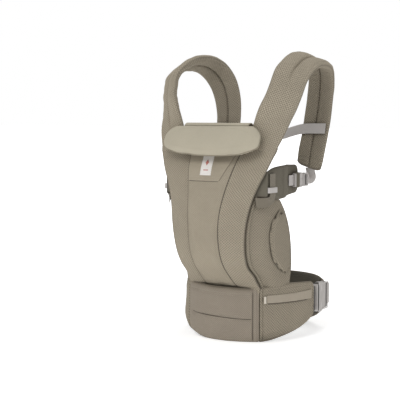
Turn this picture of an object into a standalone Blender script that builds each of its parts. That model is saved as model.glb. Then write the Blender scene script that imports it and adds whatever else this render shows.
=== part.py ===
"""Soft front baby carrier, standing as worn: waist belt loop, curved front panel,
head pillow folded forward, thigh wings, side arms, padded shoulder straps, chest strap.
Origin: floor level, under the middle of the whole outline. -Y is the outside front, +Z up.
In piece names left is -X and right is +X. Sizes are in millimetres, the scene in metres.
"""
import math
from functools import cache, partial
from typing import NamedTuple

import bmesh
import bpy
import numpy as np
from mathutils import Vector

MM = 0.001
SIDES = ((-1, "left"), (1, "right"))
DEPTH_SHIFT = 28.19                   # from the belt's centre to the outline's middle, along Y

# ---- sizes shared by several pieces ---------------------------------------------------
COVER = 1.2                           # fabric wall of the padded covers
GAP = 0.45                            # clearance between sewn layers
LAYER_EASE = 0.3                      # extra clearance under the lining and the label
WEB_T = 2.0                           # webbing thickness
WAIST_WEB, NARROW_WEB = 50.0, 25.0    # webbing widths


# ---- materials: linear colour and roughness --------------------------------------------
FABRIC_ROUGHNESS = 0.92
MATERIALS = {
    "khaki_mesh": ((0.36, 0.315, 0.245), FABRIC_ROUGHNESS),
    "khaki_fabric": ((0.33, 0.285, 0.225), FABRIC_ROUGHNESS),
    "pillow_fabric": ((0.46, 0.42, 0.33), FABRIC_ROUGHNESS),
    "dark_lining": ((0.115, 0.105, 0.085), FABRIC_ROUGHNESS),
    "foam": ((0.55, 0.53, 0.48), FABRIC_ROUGHNESS),
    "webbing_grey": ((0.50, 0.47, 0.45), FABRIC_ROUGHNESS),
    "dark_elastic": ((0.10, 0.09, 0.08), 0.75),
    "buckle_grey": ((0.42, 0.41, 0.39), 0.38),
    "label_white": ((0.80, 0.76, 0.72), 0.6),
    "tab_cream": ((0.66, 0.61, 0.53), FABRIC_ROUGHNESS),
    "padding_mesh": ((0.30, 0.262, 0.205), FABRIC_ROUGHNESS),
}


@cache
def material(name):
    colour, roughness = MATERIALS[name]
    mat = bpy.data.materials.new(name)
    mat.use_nodes = True
    shader = mat.node_tree.nodes["Principled BSDF"]
    shader.inputs["Base Color"].default_value = (*colour, 1.0)
    shader.inputs["Roughness"].default_value = roughness
    shader.inputs["Metallic"].default_value = 0.0
    return mat


# ---- points, directions and table lookup -----------------------------------------------
def vec(*values):
    return np.array(values, float)


def unit(v):
    return v / np.linalg.norm(v)


RIGHT = vec(1, 0, 0)
REAR = vec(0, 1, 0)
UP = vec(0, 0, 1)


def perpendicular(v, axis):
    """Unit direction nearest to v at right angles to the unit vector axis."""
    return unit(v - axis * np.dot(v, axis))


def tangent(points, i):
    """Direction of a line of points at point i."""
    return unit(points[min(i + 1, len(points) - 1)] - points[max(i - 1, 0)])


def curve(rows, at, col=1):
    """Catmull-Rom value of a table's column where its first column is at."""
    keys = [row[0] for row in rows]
    at = min(max(at, keys[0]), keys[-1])
    i = min(max(int(np.searchsorted(keys, at)) - 1, 0), len(keys) - 2)
    step = keys[i + 1] - keys[i]
    a, b = rows[i][col], rows[i + 1][col]
    slope_a = slope_b = (b - a) / step
    if i > 0:
        slope_a = (b - rows[i - 1][col]) / (keys[i + 1] - keys[i - 1])
    if i + 2 < len(keys):
        slope_b = (rows[i + 2][col] - a) / (keys[i + 2] - keys[i])
    s = (at - keys[i]) / step
    return ((2 * s**3 - 3 * s**2 + 1) * a + (s**3 - 2 * s**2 + s) * step * slope_a
            + (-2 * s**3 + 3 * s**2) * b + (s**3 - s**2) * step * slope_b)


# ---- mesh builders ----------------------------------------------------------------------
def make(name, verts, faces, mat, origin=(0, 0, 0), smooth=False):
    """One object from points in millimetres; origin is where its own zero sits."""
    origin = vec(*origin)
    mesh = bpy.data.meshes.new(name)
    mesh.from_pydata([tuple((np.asarray(v) - origin) * MM) for v in verts], [], faces)
    bm = bmesh.new()
    bm.from_mesh(mesh)
    bmesh.ops.recalc_face_normals(bm, faces=bm.faces)
    bmesh.ops.triangulate(bm, faces=bm.faces)
    bm.to_mesh(mesh)
    bm.free()
    obj = bpy.data.objects.new(name, mesh)
    obj.location = tuple(origin * MM)
    bpy.context.scene.collection.objects.link(obj)
    mesh.materials.append(material(mat))
    for polygon in mesh.polygons:
        polygon.use_smooth = smooth
    return obj


def cap(count, base, flip):
    """Quads across one ring of count points whose halves run there and back."""
    faces = []
    for i in range(count // 2 - 1):
        quad = (base + i, base + i + 1, base + count - 2 - i, base + count - 1 - i)
        faces.append(quad[::-1] if flip else quad)
    return faces


def tube(rings, base=0, flip=False):
    """Quads joining each ring to the next."""
    count = len(rings[0])
    faces = []
    for i in range(len(rings) - 1):
        for j in range(count):
            a = base + i * count + j
            b = base + i * count + (j + 1) % count
            quad = (a, b, b + count, a + count)
            faces.append(quad[::-1] if flip else quad)
    return faces


def loft(name, rings, mat, origin=(0, 0, 0), smooth=True):
    """Solid through a row of rings, capped at both ends."""
    count = len(rings[0])
    verts = [p for ring in rings for p in ring]
    faces = tube(rings) + cap(count, 0, True) + cap(count, (len(rings) - 1) * count, False)
    return make(name, verts, faces, mat, origin, smooth)


def sleeve(name, outer, inner, mat, origin=(0, 0, 0)):
    """Fabric tube with a real hollow, open at both ends."""
    count = len(outer[0])
    verts = [p for ring in outer + inner for p in ring]
    inner_base = len(outer) * count
    faces = tube(outer) + tube(inner, inner_base, True)
    # rims joining the outer and inner walls at the first and last rings
    for a in (0, inner_base - count):
        b = inner_base + a
        for j in range(count):
            k = (j + 1) % count
            quad = (a + j, a + k, b + k, b + j)
            faces.append(quad if a else quad[::-1])
    return make(name, verts, faces, mat, origin, True)


def section(centre, across, face, half_width, half_thick, inset=0.0, count=5, edge=0.62):
    """Crowned band section: count points along one face, then back along the other.
    edge is the share of the thickness left at the band's edges."""
    steps = np.linspace(-1, 1, count)
    heights = [half_thick * (edge + (1 - edge) * (1 - s**4) ** 0.5) - inset for s in steps]
    reach = half_width - inset
    front = [centre + across * (s * reach) + face * h for s, h in zip(steps, heights)]
    back = [centre + across * (s * reach) - face * h for s, h in zip(steps, heights)]
    return front + back[::-1]


def padded_part(name, rings_at, mat):
    """Hollow cover with foam inside; rings_at gives the rings for an inset."""
    sleeve(name + "_cover", rings_at(0.0), rings_at(COVER), mat)
    loft(name + "_foam", rings_at(COVER + GAP)[1:-1], "foam")


def web(name, points, across, face, width=NARROW_WEB, mat="webbing_grey", thick=WEB_T):
    """Flat webbing through points, with its width and face directions at each."""
    rings = []
    for p, w, n in zip(points, across, face):
        w = unit(w)
        side = w * width / 2
        lift = perpendicular(n, w) * thick / 2
        rings.append([p - side + lift, p + side + lift, p + side - lift, p - side - lift])
    return loft(name, rings, mat, smooth=False)


def box(name, low, high, origin=(0, 0, 0)):
    x0, y0, z0 = low
    x1, y1, z1 = high
    verts = [(x0, y0, z0), (x1, y0, z0), (x1, y1, z0), (x0, y1, z0),
             (x0, y0, z1), (x1, y0, z1), (x1, y1, z1), (x0, y1, z1)]
    faces = [(0, 3, 2, 1), (4, 5, 6, 7), (0, 1, 5, 4), (1, 2, 6, 5), (2, 3, 7, 6), (3, 0, 4, 7)]
    return make(name, verts, faces, "buckle_grey", origin)


def centred_cutter(x0, x1, half_y, half_z):
    return box("cutter", (x0, -half_y, -half_z), (x1, half_y, half_z))


def plate(name, outline, half_thick, origin=(0, 0, 0)):
    """Flat buckle part: an x, y outline thickened along z."""
    n = len(outline)
    verts = [(x, y, z) for z in (half_thick, -half_thick) for x, y in outline]
    faces = [tuple(range(n)), tuple(range(2 * n - 1, n - 1, -1))]
    faces += [(i, i + n, (i + 1) % n + n, (i + 1) % n) for i in range(n)]
    return make(name, verts, faces, "buckle_grey", origin)


def subtract(obj, *cutters):
    """Cut the cutters out of obj, bake the result and remove the cutters."""
    for cutter in cutters:
        mod = obj.modifiers.new("cut", "BOOLEAN")
        mod.operation = "DIFFERENCE"
        mod.object = cutter
        mod.solver = "EXACT"
    depsgraph = bpy.context.evaluated_depsgraph_get()
    mesh = bpy.data.meshes.new_from_object(obj.evaluated_get(depsgraph))
    uncut = obj.data
    obj.modifiers.clear()
    obj.data = mesh
    bpy.data.meshes.remove(uncut)
    for cutter in cutters:
        bpy.data.objects.remove(cutter)


# ---- side-release buckles -----------------------------------------------------------------
BUCKLE_GAP = 0.4                      # clearance between tongue and socket
BUCKLE_WALL = 2.0
SOCKET_CHAMFER = 1.6
SOCKET_END_SHARE = 0.93               # width share that limits the socket's cavity
WINDOW_SHARE = 0.62                   # start of the side windows, share of the socket length
WINDOW_LENGTH = 11.0
SLOT_SIDE_PLAY = 0.8                  # webbing slot beyond each edge of the webbing
WEB_IN_SOCKET, WEB_IN_TONGUE = 4.5, 3.0   # how far webbing enters each half


class Buckle(NamedTuple):
    """Frame and sizes of a buckle. The socket lies behind the mouth, against along;
    the tongue lies in front of it. Parts are built with x, y, z as along, across, out."""
    tag: str
    mouth: np.ndarray
    along: np.ndarray
    across: np.ndarray
    out: np.ndarray
    width: float
    thick: float
    socket_length: float
    tongue_length: float
    web_width: float
    has_prongs: bool

    def at(self, distance):
        return self.mouth + self.along * distance

    def socket_web_end(self):
        return self.at(-self.socket_length + WEB_IN_SOCKET)

    def tongue_web_end(self):
        return self.at(self.tongue_length - WEB_IN_TONGUE)

    def cavity_half_width(self):
        return self.width / 2 * SOCKET_END_SHARE - BUCKLE_WALL

    def slot_half_width(self):
        return self.web_width / 2 + SLOT_SIDE_PLAY


def place(obj, buckle):
    """Move a part from the buckle's own frame onto the carrier."""
    def turned(p):
        return buckle.along * p[0] + buckle.across * p[1] + buckle.out * p[2]

    for vertex in obj.data.vertices:
        vertex.co = Vector(turned(vec(*vertex.co)))
    # a left-handed frame mirrors the part
    if np.dot(np.cross(buckle.along, buckle.across), buckle.out) < 0:
        obj.data.flip_normals()
    obj.location = tuple(buckle.mouth * MM + turned(vec(*obj.location)))


def buckle_socket(buckle):
    length = buckle.socket_length
    half_thick = buckle.thick / 2
    chamfer = SOCKET_CHAMFER
    # x and share of the full width, from the webbing end to the mouth
    stations = [(-length, 0.80), (-length + 5, SOCKET_END_SHARE), (-length * 0.55, 1.0),
                (-6, 1.0), (0, 0.94)]
    rings = []
    for x, share in stations:
        a = buckle.width / 2 * share
        b = half_thick
        ring = [(-a, b - chamfer), (-a + chamfer, b), (a - chamfer, b), (a, b - chamfer),
                (a, -b + chamfer), (a - chamfer, -b), (-a + chamfer, -b), (-a, -b + chamfer)]
        rings.append([vec(x, y, z) for y, z in ring])
    socket = loft(buckle.tag + "_buckle_socket", rings, "buckle_grey", smooth=False)
    window = -length * WINDOW_SHARE
    cavity_half_thick = half_thick - BUCKLE_WALL
    subtract(
        socket,
        # cavity, side windows, webbing slot
        centred_cutter(-length + 9, 1, buckle.cavity_half_width(), cavity_half_thick),
        centred_cutter(window, window + WINDOW_LENGTH, buckle.width / 2 + 1,
                       cavity_half_thick - 0.6),
        centred_cutter(-length - 1, -length + 5.5, buckle.slot_half_width(), WEB_T / 2 + 0.6))
    place(socket, buckle)


def buckle_tongue(buckle, half_thick):
    """Tongue with a channel for the webbing and a guide blade into the socket."""
    half = max(buckle.web_width / 2 + 3.2, buckle.width / 2 * 0.86)
    blade = buckle.socket_length * 0.45
    start = BUCKLE_GAP
    end = buckle.tongue_length
    outline = [(start, -half * 0.96), (start, -3.2), (-blade, -2.6), (-blade, 2.6),
               (start, 3.2), (start, half * 0.96), (4, half), (end - 3, half),
               (end, half - 3), (end, -half + 3), (end - 3, -half), (4, -half)]
    tongue = plate(buckle.tag + "_buckle_tongue", outline, half_thick)
    subtract(tongue, centred_cutter(5.0, end + 1, buckle.slot_half_width(), WEB_T / 2 + 0.5))
    place(tongue, buckle)


def buckle_prongs(buckle, half_thick):
    """Hooked prongs either side of the guide blade."""
    cavity = buckle.cavity_half_width()
    out = cavity - 0.7
    tip = -buckle.socket_length * WINDOW_SHARE + 1.5
    outline = [(-0.4, 5.0), (-0.4, 11.0), (-6, cavity - 4.5), (-9, out), (tip + 2, out),
               (tip, out - 2.5), (tip, out - 5.5), (-7, out - 6.5), (-3.6, 5.0)]
    for sign, side in ((1, "upper"), (-1, "lower")):
        prong = plate(f"{buckle.tag}_buckle_prong_{side}", [(x, y * sign) for x, y in outline],
                      half_thick, origin=(-2.0, 7.0 * sign, 0))
        place(prong, buckle)


def build_buckle(buckle):
    half_thick = buckle.thick / 2 - BUCKLE_WALL - BUCKLE_GAP
    buckle_socket(buckle)
    buckle_tongue(buckle, half_thick)
    if buckle.has_prongs:
        buckle_prongs(buckle, half_thick)


# ---- waist belt ---------------------------------------------------------------------------
# Angles round the loop are degrees: 0 at +X, -90 at the front.
FRONT = -90
BELT_AX, BELT_AY = 167.0, 175.0       # outer half-widths of the belt loop
WING_T, CENTRE_T = 18.0, 22.0         # padded wing and centre thickness
CENTRE_HALF_ANGLE = 36.0              # centre section, either side of the front
WING_SEAM = 0.3                       # angle left between the centre and each wing
FOAM_TRIM = 0.35                      # angle by which foam stops short of its cover
SHORT_WING_END = -2.5
LONG_WING_END = 38.0 - 360            # past the back
CUSHION_HALF_ANGLE = 27
CUSHION_Z = 62
FLAP_START, FLAP_END = -48.5, -10.5
# angle, height of the edge
BELT_TOP = [
    (-322, 120), (-300, 122), (-250, 122), (-200, 126), (-180, 128), (-150, 129),
    (-126, 127.5), (-112, 126), (-98, 123.5), (-82, 123), (-61, 122.5), (-54, 125),
    (-46, 129), (-40, 131), (-26, 133), (-12, 131.5), (0, 129),
]
BELT_BOTTOM = [
    (-322, 46), (-312, 32), (-300, 18), (-288, 7), (-275, 0), (-255, 0), (-215, 6),
    (-185, 20), (-165, 24), (-145, 20), (-130, 12), (-115, 4.5), (-105, 1.5), (-91, 0),
    (-59, 0), (-46.5, 4), (-39.5, 9), (-25.4, 21), (-13.2, 34), (-2, 51),
]

WAIST = Buckle(
    "waist", mouth=vec(151.2, 51.0, 88.0), along=unit(vec(-0.12, 0.993, 0)), across=UP,
    out=unit(vec(0.993, 0.12, 0)), width=71.0, thick=13.0, socket_length=38.0,
    tongue_length=30.0, web_width=WAIST_WEB, has_prongs=True)


def belt_point(angle, inset=0.0):
    """Point on the loop's outline moved inwards by inset, and the outward direction."""
    a = math.radians(angle)
    point = vec(BELT_AX * math.cos(a), BELT_AY * math.sin(a), 0)
    outward = unit(vec(math.cos(a) / BELT_AX, math.sin(a) / BELT_AY, 0))
    return point - outward * inset, outward


def belt_rings(start, end, thick, count, inset=0.0):
    rings = []
    for angle in np.linspace(start, end, count):
        centre, outward = belt_point(angle, thick / 2)
        bottom = max(0.0, curve(BELT_BOTTOM, angle))
        top = curve(BELT_TOP, angle)
        centre = centre + UP * ((bottom + top) / 2)
        rings.append(section(centre, UP, outward, (top - bottom) / 2, thick / 2, inset))
    return rings


def belt_part(name, start, end, thick, count):
    sleeve(name + "_cover", belt_rings(start, end, thick, count),
           belt_rings(start, end, thick, count, COVER), "khaki_mesh")
    loft(name + "_foam",
         belt_rings(start + FOAM_TRIM, end - FOAM_TRIM, thick, count, COVER + GAP), "foam")


def belt_parts():
    centre_start, centre_end = FRONT - CENTRE_HALF_ANGLE, FRONT + CENTRE_HALF_ANGLE
    belt_part("belt_centre", centre_start, centre_end, CENTRE_T, 11)
    belt_part("belt_wing_short", centre_end + WING_SEAM, SHORT_WING_END, WING_T, 9)
    belt_part("belt_wing_long", LONG_WING_END, centre_start - WING_SEAM, WING_T, 26)


def lumbar_cushion():
    """Mesh cushion on the inner side of the centre section, thinning to its ends."""
    rings = []
    for angle in np.linspace(FRONT - CUSHION_HALF_ANGLE, FRONT + CUSHION_HALF_ANGLE, 9):
        from_end = 1 - abs(angle - FRONT) / CUSHION_HALF_ANGLE
        thick = 4.0 + 8.0 * min(1.0, from_end * 2.4) ** 0.6
        half_height = 34 + 14 * min(1.0, from_end * 3) ** 0.5
        centre, outward = belt_point(angle, CENTRE_T + 0.5 + thick / 2)
        rings.append(section(centre + UP * CUSHION_Z, UP, outward, half_height, thick / 2))
    loft("lumbar_cushion", rings, "padding_mesh")


def pocket_flap():
    """Band along the outside of the short wing, rising and widening rearwards."""
    rings = []
    for angle in np.linspace(FLAP_START, FLAP_END, 8):
        share = (angle - FLAP_START) / (FLAP_END - FLAP_START)
        centre, outward = belt_point(angle, -1.5)
        rings.append(section(centre + UP * (100 + share * 4), UP, outward,
                             half_width=9 + share * 1.2, half_thick=0.9, count=3))
    loft("pocket_flap", rings, "khaki_fabric")


def waist_keeper():
    """Elastic loop round the webbing at the short wing's end."""
    def rings(inset):
        return [section(WAIST.at(distance), UP, WAIST.out, WAIST_WEB / 2 + 6, 4.6,
                        inset, count=3, edge=0.8) for distance in (-54.5, -44.5)]

    sleeve("waist_elastic_keeper", rings(0.0), rings(2.0), "dark_elastic")


def waist_webbing():
    web("waist_web_short", [WAIST.at(-56.0), WAIST.socket_web_end()], [UP] * 2,
        [WAIST.out] * 2, WAIST_WEB)
    points = [WAIST.tongue_web_end(), WAIST.at(52.0)]
    faces = [WAIST.out] * 2
    # angle and distance outside the loop, where the webbing lies on the long wing
    for angle, distance in ((38.5, 4.6), (43, 1.9), (49, 1.9), (55, 1.9)):
        point, outward = belt_point(angle, -distance)
        points.append(point + UP * WAIST.mouth[2])
        faces.append(outward)
    web("waist_web_long", points, [UP] * 6, faces, WAIST_WEB)


# the pull's own origin is the centre of the belt's arc, so it turns along the zip
ZIP_ORIGIN = vec(-9.74, -2.23, 99.0)


def zip_pull():
    centre, outward = belt_point(-49.8, -4.6)
    centre = centre + UP * ZIP_ORIGIN[2]
    along = unit(vec(-outward[1], outward[0], 0))
    rings = [section(centre + along * distance, UP, outward, half_width=8.0, half_thick=1.0,
                     count=3, edge=0.8) for distance in (-2.6, 2.6)]
    loft("pocket_zip_pull", rings, "tab_cream", ZIP_ORIGIN, smooth=False)


# ---- front panel ----------------------------------------------------------------------------
PANEL_COVER, PANEL_PAD, PANEL_LINING = 2.4, 5.6, 1.4
SIDE_LINING_INNER = -4.6              # inner face of the side lining
SEAM_GAP = 0.8                        # clearance each side of the seam
POCKET_T, LABEL_T = 1.6, 1.0
# z, centre y, seam half-width, edge half-width, edge y
PANEL = [
    (126, -146, 43, 97, -139), (140, -165, 42, 94, -148), (155, -182, 41, 92, -158),
    (178, -203, 40, 90, -182), (205, -219, 40, 92, -196), (240, -227, 40, 95, -204),
    (275, -229, 41, 99, -205), (310, -225, 44, 105, -200), (345, -216, 49, 115, -193),
    (373, -207, 55, 127, -187), (398, -197, 61, 139, -181), (425, -181, 67, 150, -173),
    (442, -173, 75, 157, -167), (470, -161, 88, 160, -156), (496, -152, 98, 160, -146),
]


def seam_x(z, offset=0.0, sign=1):
    """X of the seam between centre and side, offset outwards."""
    return sign * (curve(PANEL, z, 2) + offset)


def edge_x(z, sign=1):
    return sign * curve(PANEL, z, 3)


def edge_y(z):
    return curve(PANEL, z, 4)


def panel_point(x, z):
    centre_y = curve(PANEL, z, 1)
    return vec(x, centre_y + (edge_y(z) - centre_y) * (abs(x) / edge_x(z)) ** 2.3, z)


def panel_normal(x, z):
    """Outward (front) direction of the panel surface."""
    dx = panel_point(x + 1, z) - panel_point(x - 1, z)
    dz = panel_point(x, min(z + 1, PANEL[-1][0])) - panel_point(x, max(z - 1, PANEL[0][0]))
    return unit(np.cross(dx, dz))


def panel_layer(name, sides, heights, offsets, counts, mat):
    """Curved sheet. sides: functions of z giving its -X and +X lines; heights: z range;
    offsets: inner and outer faces, outwards from the surface; counts: points across, rows."""
    side_a, side_b = sides
    inner, outer = offsets
    rings = []
    for z in np.linspace(*heights, counts[1]):
        front, back = [], []
        for s in np.linspace(0, 1, counts[0]):
            x = side_a(z) * (1 - s) + side_b(z) * s
            point, normal = panel_point(x, z), panel_normal(x, z)
            front.append(point + normal * outer)
            back.append(point + normal * inner)
        rings.append(front + back[::-1])
    loft(name, rings, mat)


def centre_panel():
    sides = [partial(seam_x, offset=-SEAM_GAP, sign=sign) for sign in (-1, 1)]
    pad_inner = -PANEL_PAD - GAP
    lining_outer = pad_inner - GAP - LAYER_EASE
    for part, offsets, mat in (
            ("cover", (0.0, PANEL_COVER), "khaki_fabric"),
            ("pad", (pad_inner, -GAP), "foam"),
            ("lining", (lining_outer - PANEL_LINING, lining_outer), "dark_lining")):
        panel_layer("panel_centre_" + part, sides, (127, 494), offsets, (6, 15), mat)


def side_panels():
    for sign, side in SIDES:
        lines = [partial(seam_x, offset=SEAM_GAP, sign=sign), partial(edge_x, sign=sign)]
        lines = lines[::sign]          # -X line first
        for part, offsets, mat in (
                ("cover", (0.0, PANEL_COVER), "khaki_mesh"),
                ("lining", (SIDE_LINING_INNER, -GAP), "dark_lining")):
            panel_layer(f"side_panel_{side}_{part}", lines, (129, 434), offsets, (5, 14), mat)


def pocket_and_label():
    sides = [partial(seam_x, offset=-1, sign=sign) for sign in (-1, 1)]
    pocket_inner = PANEL_COVER + GAP
    pocket_outer = pocket_inner + POCKET_T
    panel_layer("top_pocket", sides, (370, 452), (pocket_inner, pocket_outer), (6, 6),
                "khaki_fabric")
    label_inner = pocket_outer + GAP + LAYER_EASE
    panel_layer("label_patch", (lambda z: -26.0, lambda z: 7.0), (383, 427),
                (label_inner, label_inner + LABEL_T), (2, 3), "label_white")


# ---- head pillow ------------------------------------------------------------------------------
HOOD_AXIS = vec(0, -175.0, 505.0)     # fold line, used as the pillow's origin
# centre line hanging over the front: y, z, half width, half thickness
PILLOW = [
    (-176.2, 497.5, 110.0, 3.6), (-185.0, 489.5, 126.0, 10.0), (-193.0, 474.5, 138.0, 14.0),
    (-199.5, 457.5, 141.0, 14.5), (-205.0, 440.5, 133.0, 12.0), (-209.0, 425.0, 98.0, 4.0),
]
PILLOW_SWEEP = 3.15                   # how far the side ends lie behind the middle
PILLOW_RISE = 6.0                     # how far the lowest row's ends rise above its middle
STRIP_LINE = [(-156.0, 499.5), (-162.5, 502.8), (-169.0, 502.8)]   # y, z of the fold strip


def pillow_rings(inset):
    rings = []
    line = [vec(0, y, z) for y, z, _, _ in PILLOW]
    for i, (y, z, half_width, half_thick) in enumerate(PILLOW):
        face = unit(np.cross(tangent(line, i), RIGHT))
        front, back = [], []
        for s in np.linspace(-1, 1, 9):
            height = (half_thick - inset) * (0.30 + 0.70 * (1 - abs(s) ** 3) ** 0.5)
            centre = vec(s * (half_width - inset), y + PILLOW_SWEEP * abs(s) ** 2.2,
                         z + s ** 2 * PILLOW_RISE * i / (len(PILLOW) - 1))
            front.append(centre + face * height)
            back.append(centre - face * height)
        rings.append(front + back[::-1])
    return rings


def head_pillow():
    inner = pillow_rings(COVER)
    # the hollow's last ring is drawn back up towards the one before it
    last = [p + (q - p) * 0.55 for p, q in zip(inner[-2], inner[-1])]
    sleeve("head_pillow_cover", pillow_rings(0.0), inner[:-1] + [last], "pillow_fabric",
           HOOD_AXIS)
    loft("head_pillow_foam", pillow_rings(COVER + GAP + 0.2)[1:-1], "foam", HOOD_AXIS)


def pillow_fold_strip():
    face = unit(vec(0, -0.6, 0.8))
    rings = [section(vec(0, y, z), RIGHT, face, half_width=86.0, half_thick=1.2, edge=0.9)
             for y, z in STRIP_LINE]
    loft("pillow_fold_strip", rings, "pillow_fabric")


# ---- thigh wings --------------------------------------------------------------------------------
# z, rear x, rear y
WING = [
    (136, 139, -78), (165, 140, -73), (195, 140, -72), (232, 140, -75), (269, 139, -83),
    (302, 135, -94), (330, 129, -108),
]
WING_RIM = 0.985                      # share of the way to the rear edge where the cloth ends
WING_HALF_T = 1.5
PAD_BOTTOM, PAD_TOP = 150, 312
PAD_BASE, PAD_EDGE, PAD_CROWN = 2.9, 3.9, 8.0   # heights of the pad's faces off the wing


def wing_point(s, z, sign):
    """s runs 0 at the panel edge to 1 at the free rear edge."""
    x0, y0 = edge_x(z) + 4.0, edge_y(z) + 9.0
    rear_x, rear_y = curve(WING, z, 1), curve(WING, z, 2)
    bulge = 4.8 * math.sin(math.pi * s)
    return vec(sign * (x0 + (rear_x - x0) * s ** 0.8 + bulge), y0 + (rear_y - y0) * s, z)


def wing_normal(s, z, sign):
    """Direction out of the wing, away from the body."""
    step = 0.01
    ds = wing_point(min(s + step, 1), z, sign) - wing_point(max(s - step, 0), z, sign)
    dz = (wing_point(s, min(z + 1, WING[-1][0]), sign)
          - wing_point(s, max(z - 1, WING[0][0]), sign))
    return unit(np.cross(ds, dz)) * sign


def thigh_wing(sign, side):
    rings = []
    for z in np.linspace(137, 329, 10):
        front, back = [], []
        for s in np.linspace(0.0, WING_RIM, 6):
            point = wing_point(s, z, sign)
            lift = wing_normal(s, z, sign) * WING_HALF_T
            front.append(point + lift)
            back.append(point - lift)
        rings.append(front + back[::-1])
    loft(f"thigh_wing_{side}", rings, "khaki_mesh")


def thigh_pad(sign, side):
    """Crowned pad outside the wing, along its rear edge."""
    middle, half = (PAD_BOTTOM + PAD_TOP) / 2, (PAD_TOP - PAD_BOTTOM) / 2
    rings = []
    for z in np.linspace(PAD_BOTTOM, PAD_TOP, 9):
        reach = 0.56 * (1 - abs((z - middle) / half) ** 2.6) ** 0.5 + 0.04
        front, back = [], []
        for share in np.linspace(0, 1, 5):
            s = WING_RIM - reach * (1 - share)
            crown = (1 - abs(2 * share - 1) ** 3) ** 0.5
            normal = wing_normal(s, z, sign)
            point = wing_point(s, z, sign)
            front.append(point + normal * (PAD_EDGE + PAD_CROWN * crown * min(1, reach * 3)))
            back.append(point + normal * PAD_BASE)
        rings.append(front + back[::-1])
    loft(f"thigh_pad_{side}", rings, "padding_mesh")


# ---- side arms ------------------------------------------------------------------------------------
ARM_T = 8.0
# y, x, bottom z, top z
ARM = [
    (-174, 136.5, 340, 394), (-150, 135, 334, 401), (-115, 131, 332, 404), (-75, 124, 333, 405),
    (-58, 116.5, 334, 405), (-46, 111.5, 335, 405), (-30, 109.5, 337, 404), (6, 109.5, 341, 403),
]
ARM_STATIONS = (-174, -154, -134, -114, -94, -76, -60, -46, -30, 6)

ADJUSTER_X = 135.0 + ARM_T / 2 + 4.1
ADJUSTER_Y = -160
# distance in from ADJUSTER_X, y, z, y and z of the width direction, y of the face direction
ADJUSTER = [
    (0, ADJUSTER_Y, 391, 1, 0, 0), (0, ADJUSTER_Y, 366, 1, 0, 0),
    (0, ADJUSTER_Y, 342, 1, 0, 0), (2.5, -165, 332, 0.86, -0.5, -0.1),
    (12, -178, 327, 0.42, -0.9, -0.6), (24, -192, 326, 0.1, -1, -0.8),
]
# y and height above the shoulder buckle, from behind the tongue up to the padded strap
STRAP_END_LINE = [(49, 0), (56, 1.5), (60, 6), (59, 13), (54, 19), (48, 24.5)]


def shoulder_buckle(sign, side):
    return Buckle(
        f"shoulder_{side}", mouth=vec(sign * 120.0, 8.0, 369.0), along=REAR, across=UP,
        out=RIGHT * sign, width=35.0, thick=10.5, socket_length=36.0, tongue_length=25.0,
        web_width=NARROW_WEB, has_prongs=False)


def arm_rings(sign, inset):
    first_y, last_y = ARM[0][0], ARM[-1][0]
    rings = []
    for y in ARM_STATIONS:
        x, bottom, top = (curve(ARM, y, col) for col in (1, 2, 3))
        slope = (curve(ARM, min(y + 1, last_y)) - curve(ARM, max(y - 1, first_y))) / 2
        outward = unit(vec(1, -slope, 0)) * vec(sign, 1, 1)
        half_thick = ARM_T / 2 if y > -160 else ARM_T * 0.36
        rings.append(section(vec(sign * x, y, (bottom + top) / 2), UP, outward,
                             (top - bottom) / 2, half_thick, inset))
    return rings


def arm_adjuster_web(sign, side):
    """Webbing sewn high on the arm, running down to the panel edge."""
    points = [vec(sign * (ADJUSTER_X - inward), y, z) for inward, y, z, _, _, _ in ADJUSTER]
    across = [vec(0, row[3], row[4]) for row in ADJUSTER]
    faces = [vec(sign, row[5], 0) for row in ADJUSTER]
    web(f"arm_adjuster_web_{side}", points, across, faces, mat="khaki_fabric", thick=1.6)


def arm_slider(sign, side):
    """Rectangular ring round the adjuster webbing."""
    x, y = sign * ADJUSTER_X, ADJUSTER_Y
    ring = box(f"arm_slider_{side}", (x - 2.9, y - 16, 348), (x + 2.9, y + 16, 360),
               origin=(x, y, 354))
    subtract(ring, box("cutter", (x - 1.35, y - 13.1, 340), (x + 1.35, y + 13.1, 370)))


def arm_end_web(sign, side, buckle):
    """Short webbing from the arm's end into the socket."""
    z = buckle.mouth[2]
    points = [vec(sign * 117.6, -46, z), vec(sign * 118.8, -36, z), buckle.socket_web_end()]
    web(f"arm_end_web_{side}", points, [UP] * 3, [buckle.out] * 3)


def strap_end_web(side, buckle):
    """Webbing from the tongue to the rear, then up to the padded strap's end,
    turning its width from upright to sideways."""
    x, _, base_z = buckle.mouth
    points = [buckle.tongue_web_end()] + [vec(x, y, base_z + z) for y, z in STRAP_END_LINE]
    across, faces = [], []
    for i in range(len(points)):
        along = tangent(points, i)
        share = i / (len(points) - 1)
        twist = math.radians(90) * max(0, (share - 0.2) / 0.8)
        upright = unit(np.cross(along, buckle.out))
        width_dir = unit(upright * math.cos(twist) + buckle.out * math.sin(twist))
        across.append(width_dir)
        faces.append(unit(np.cross(width_dir, along)))
    web(f"strap_end_web_{side}", points, across, faces)


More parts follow.
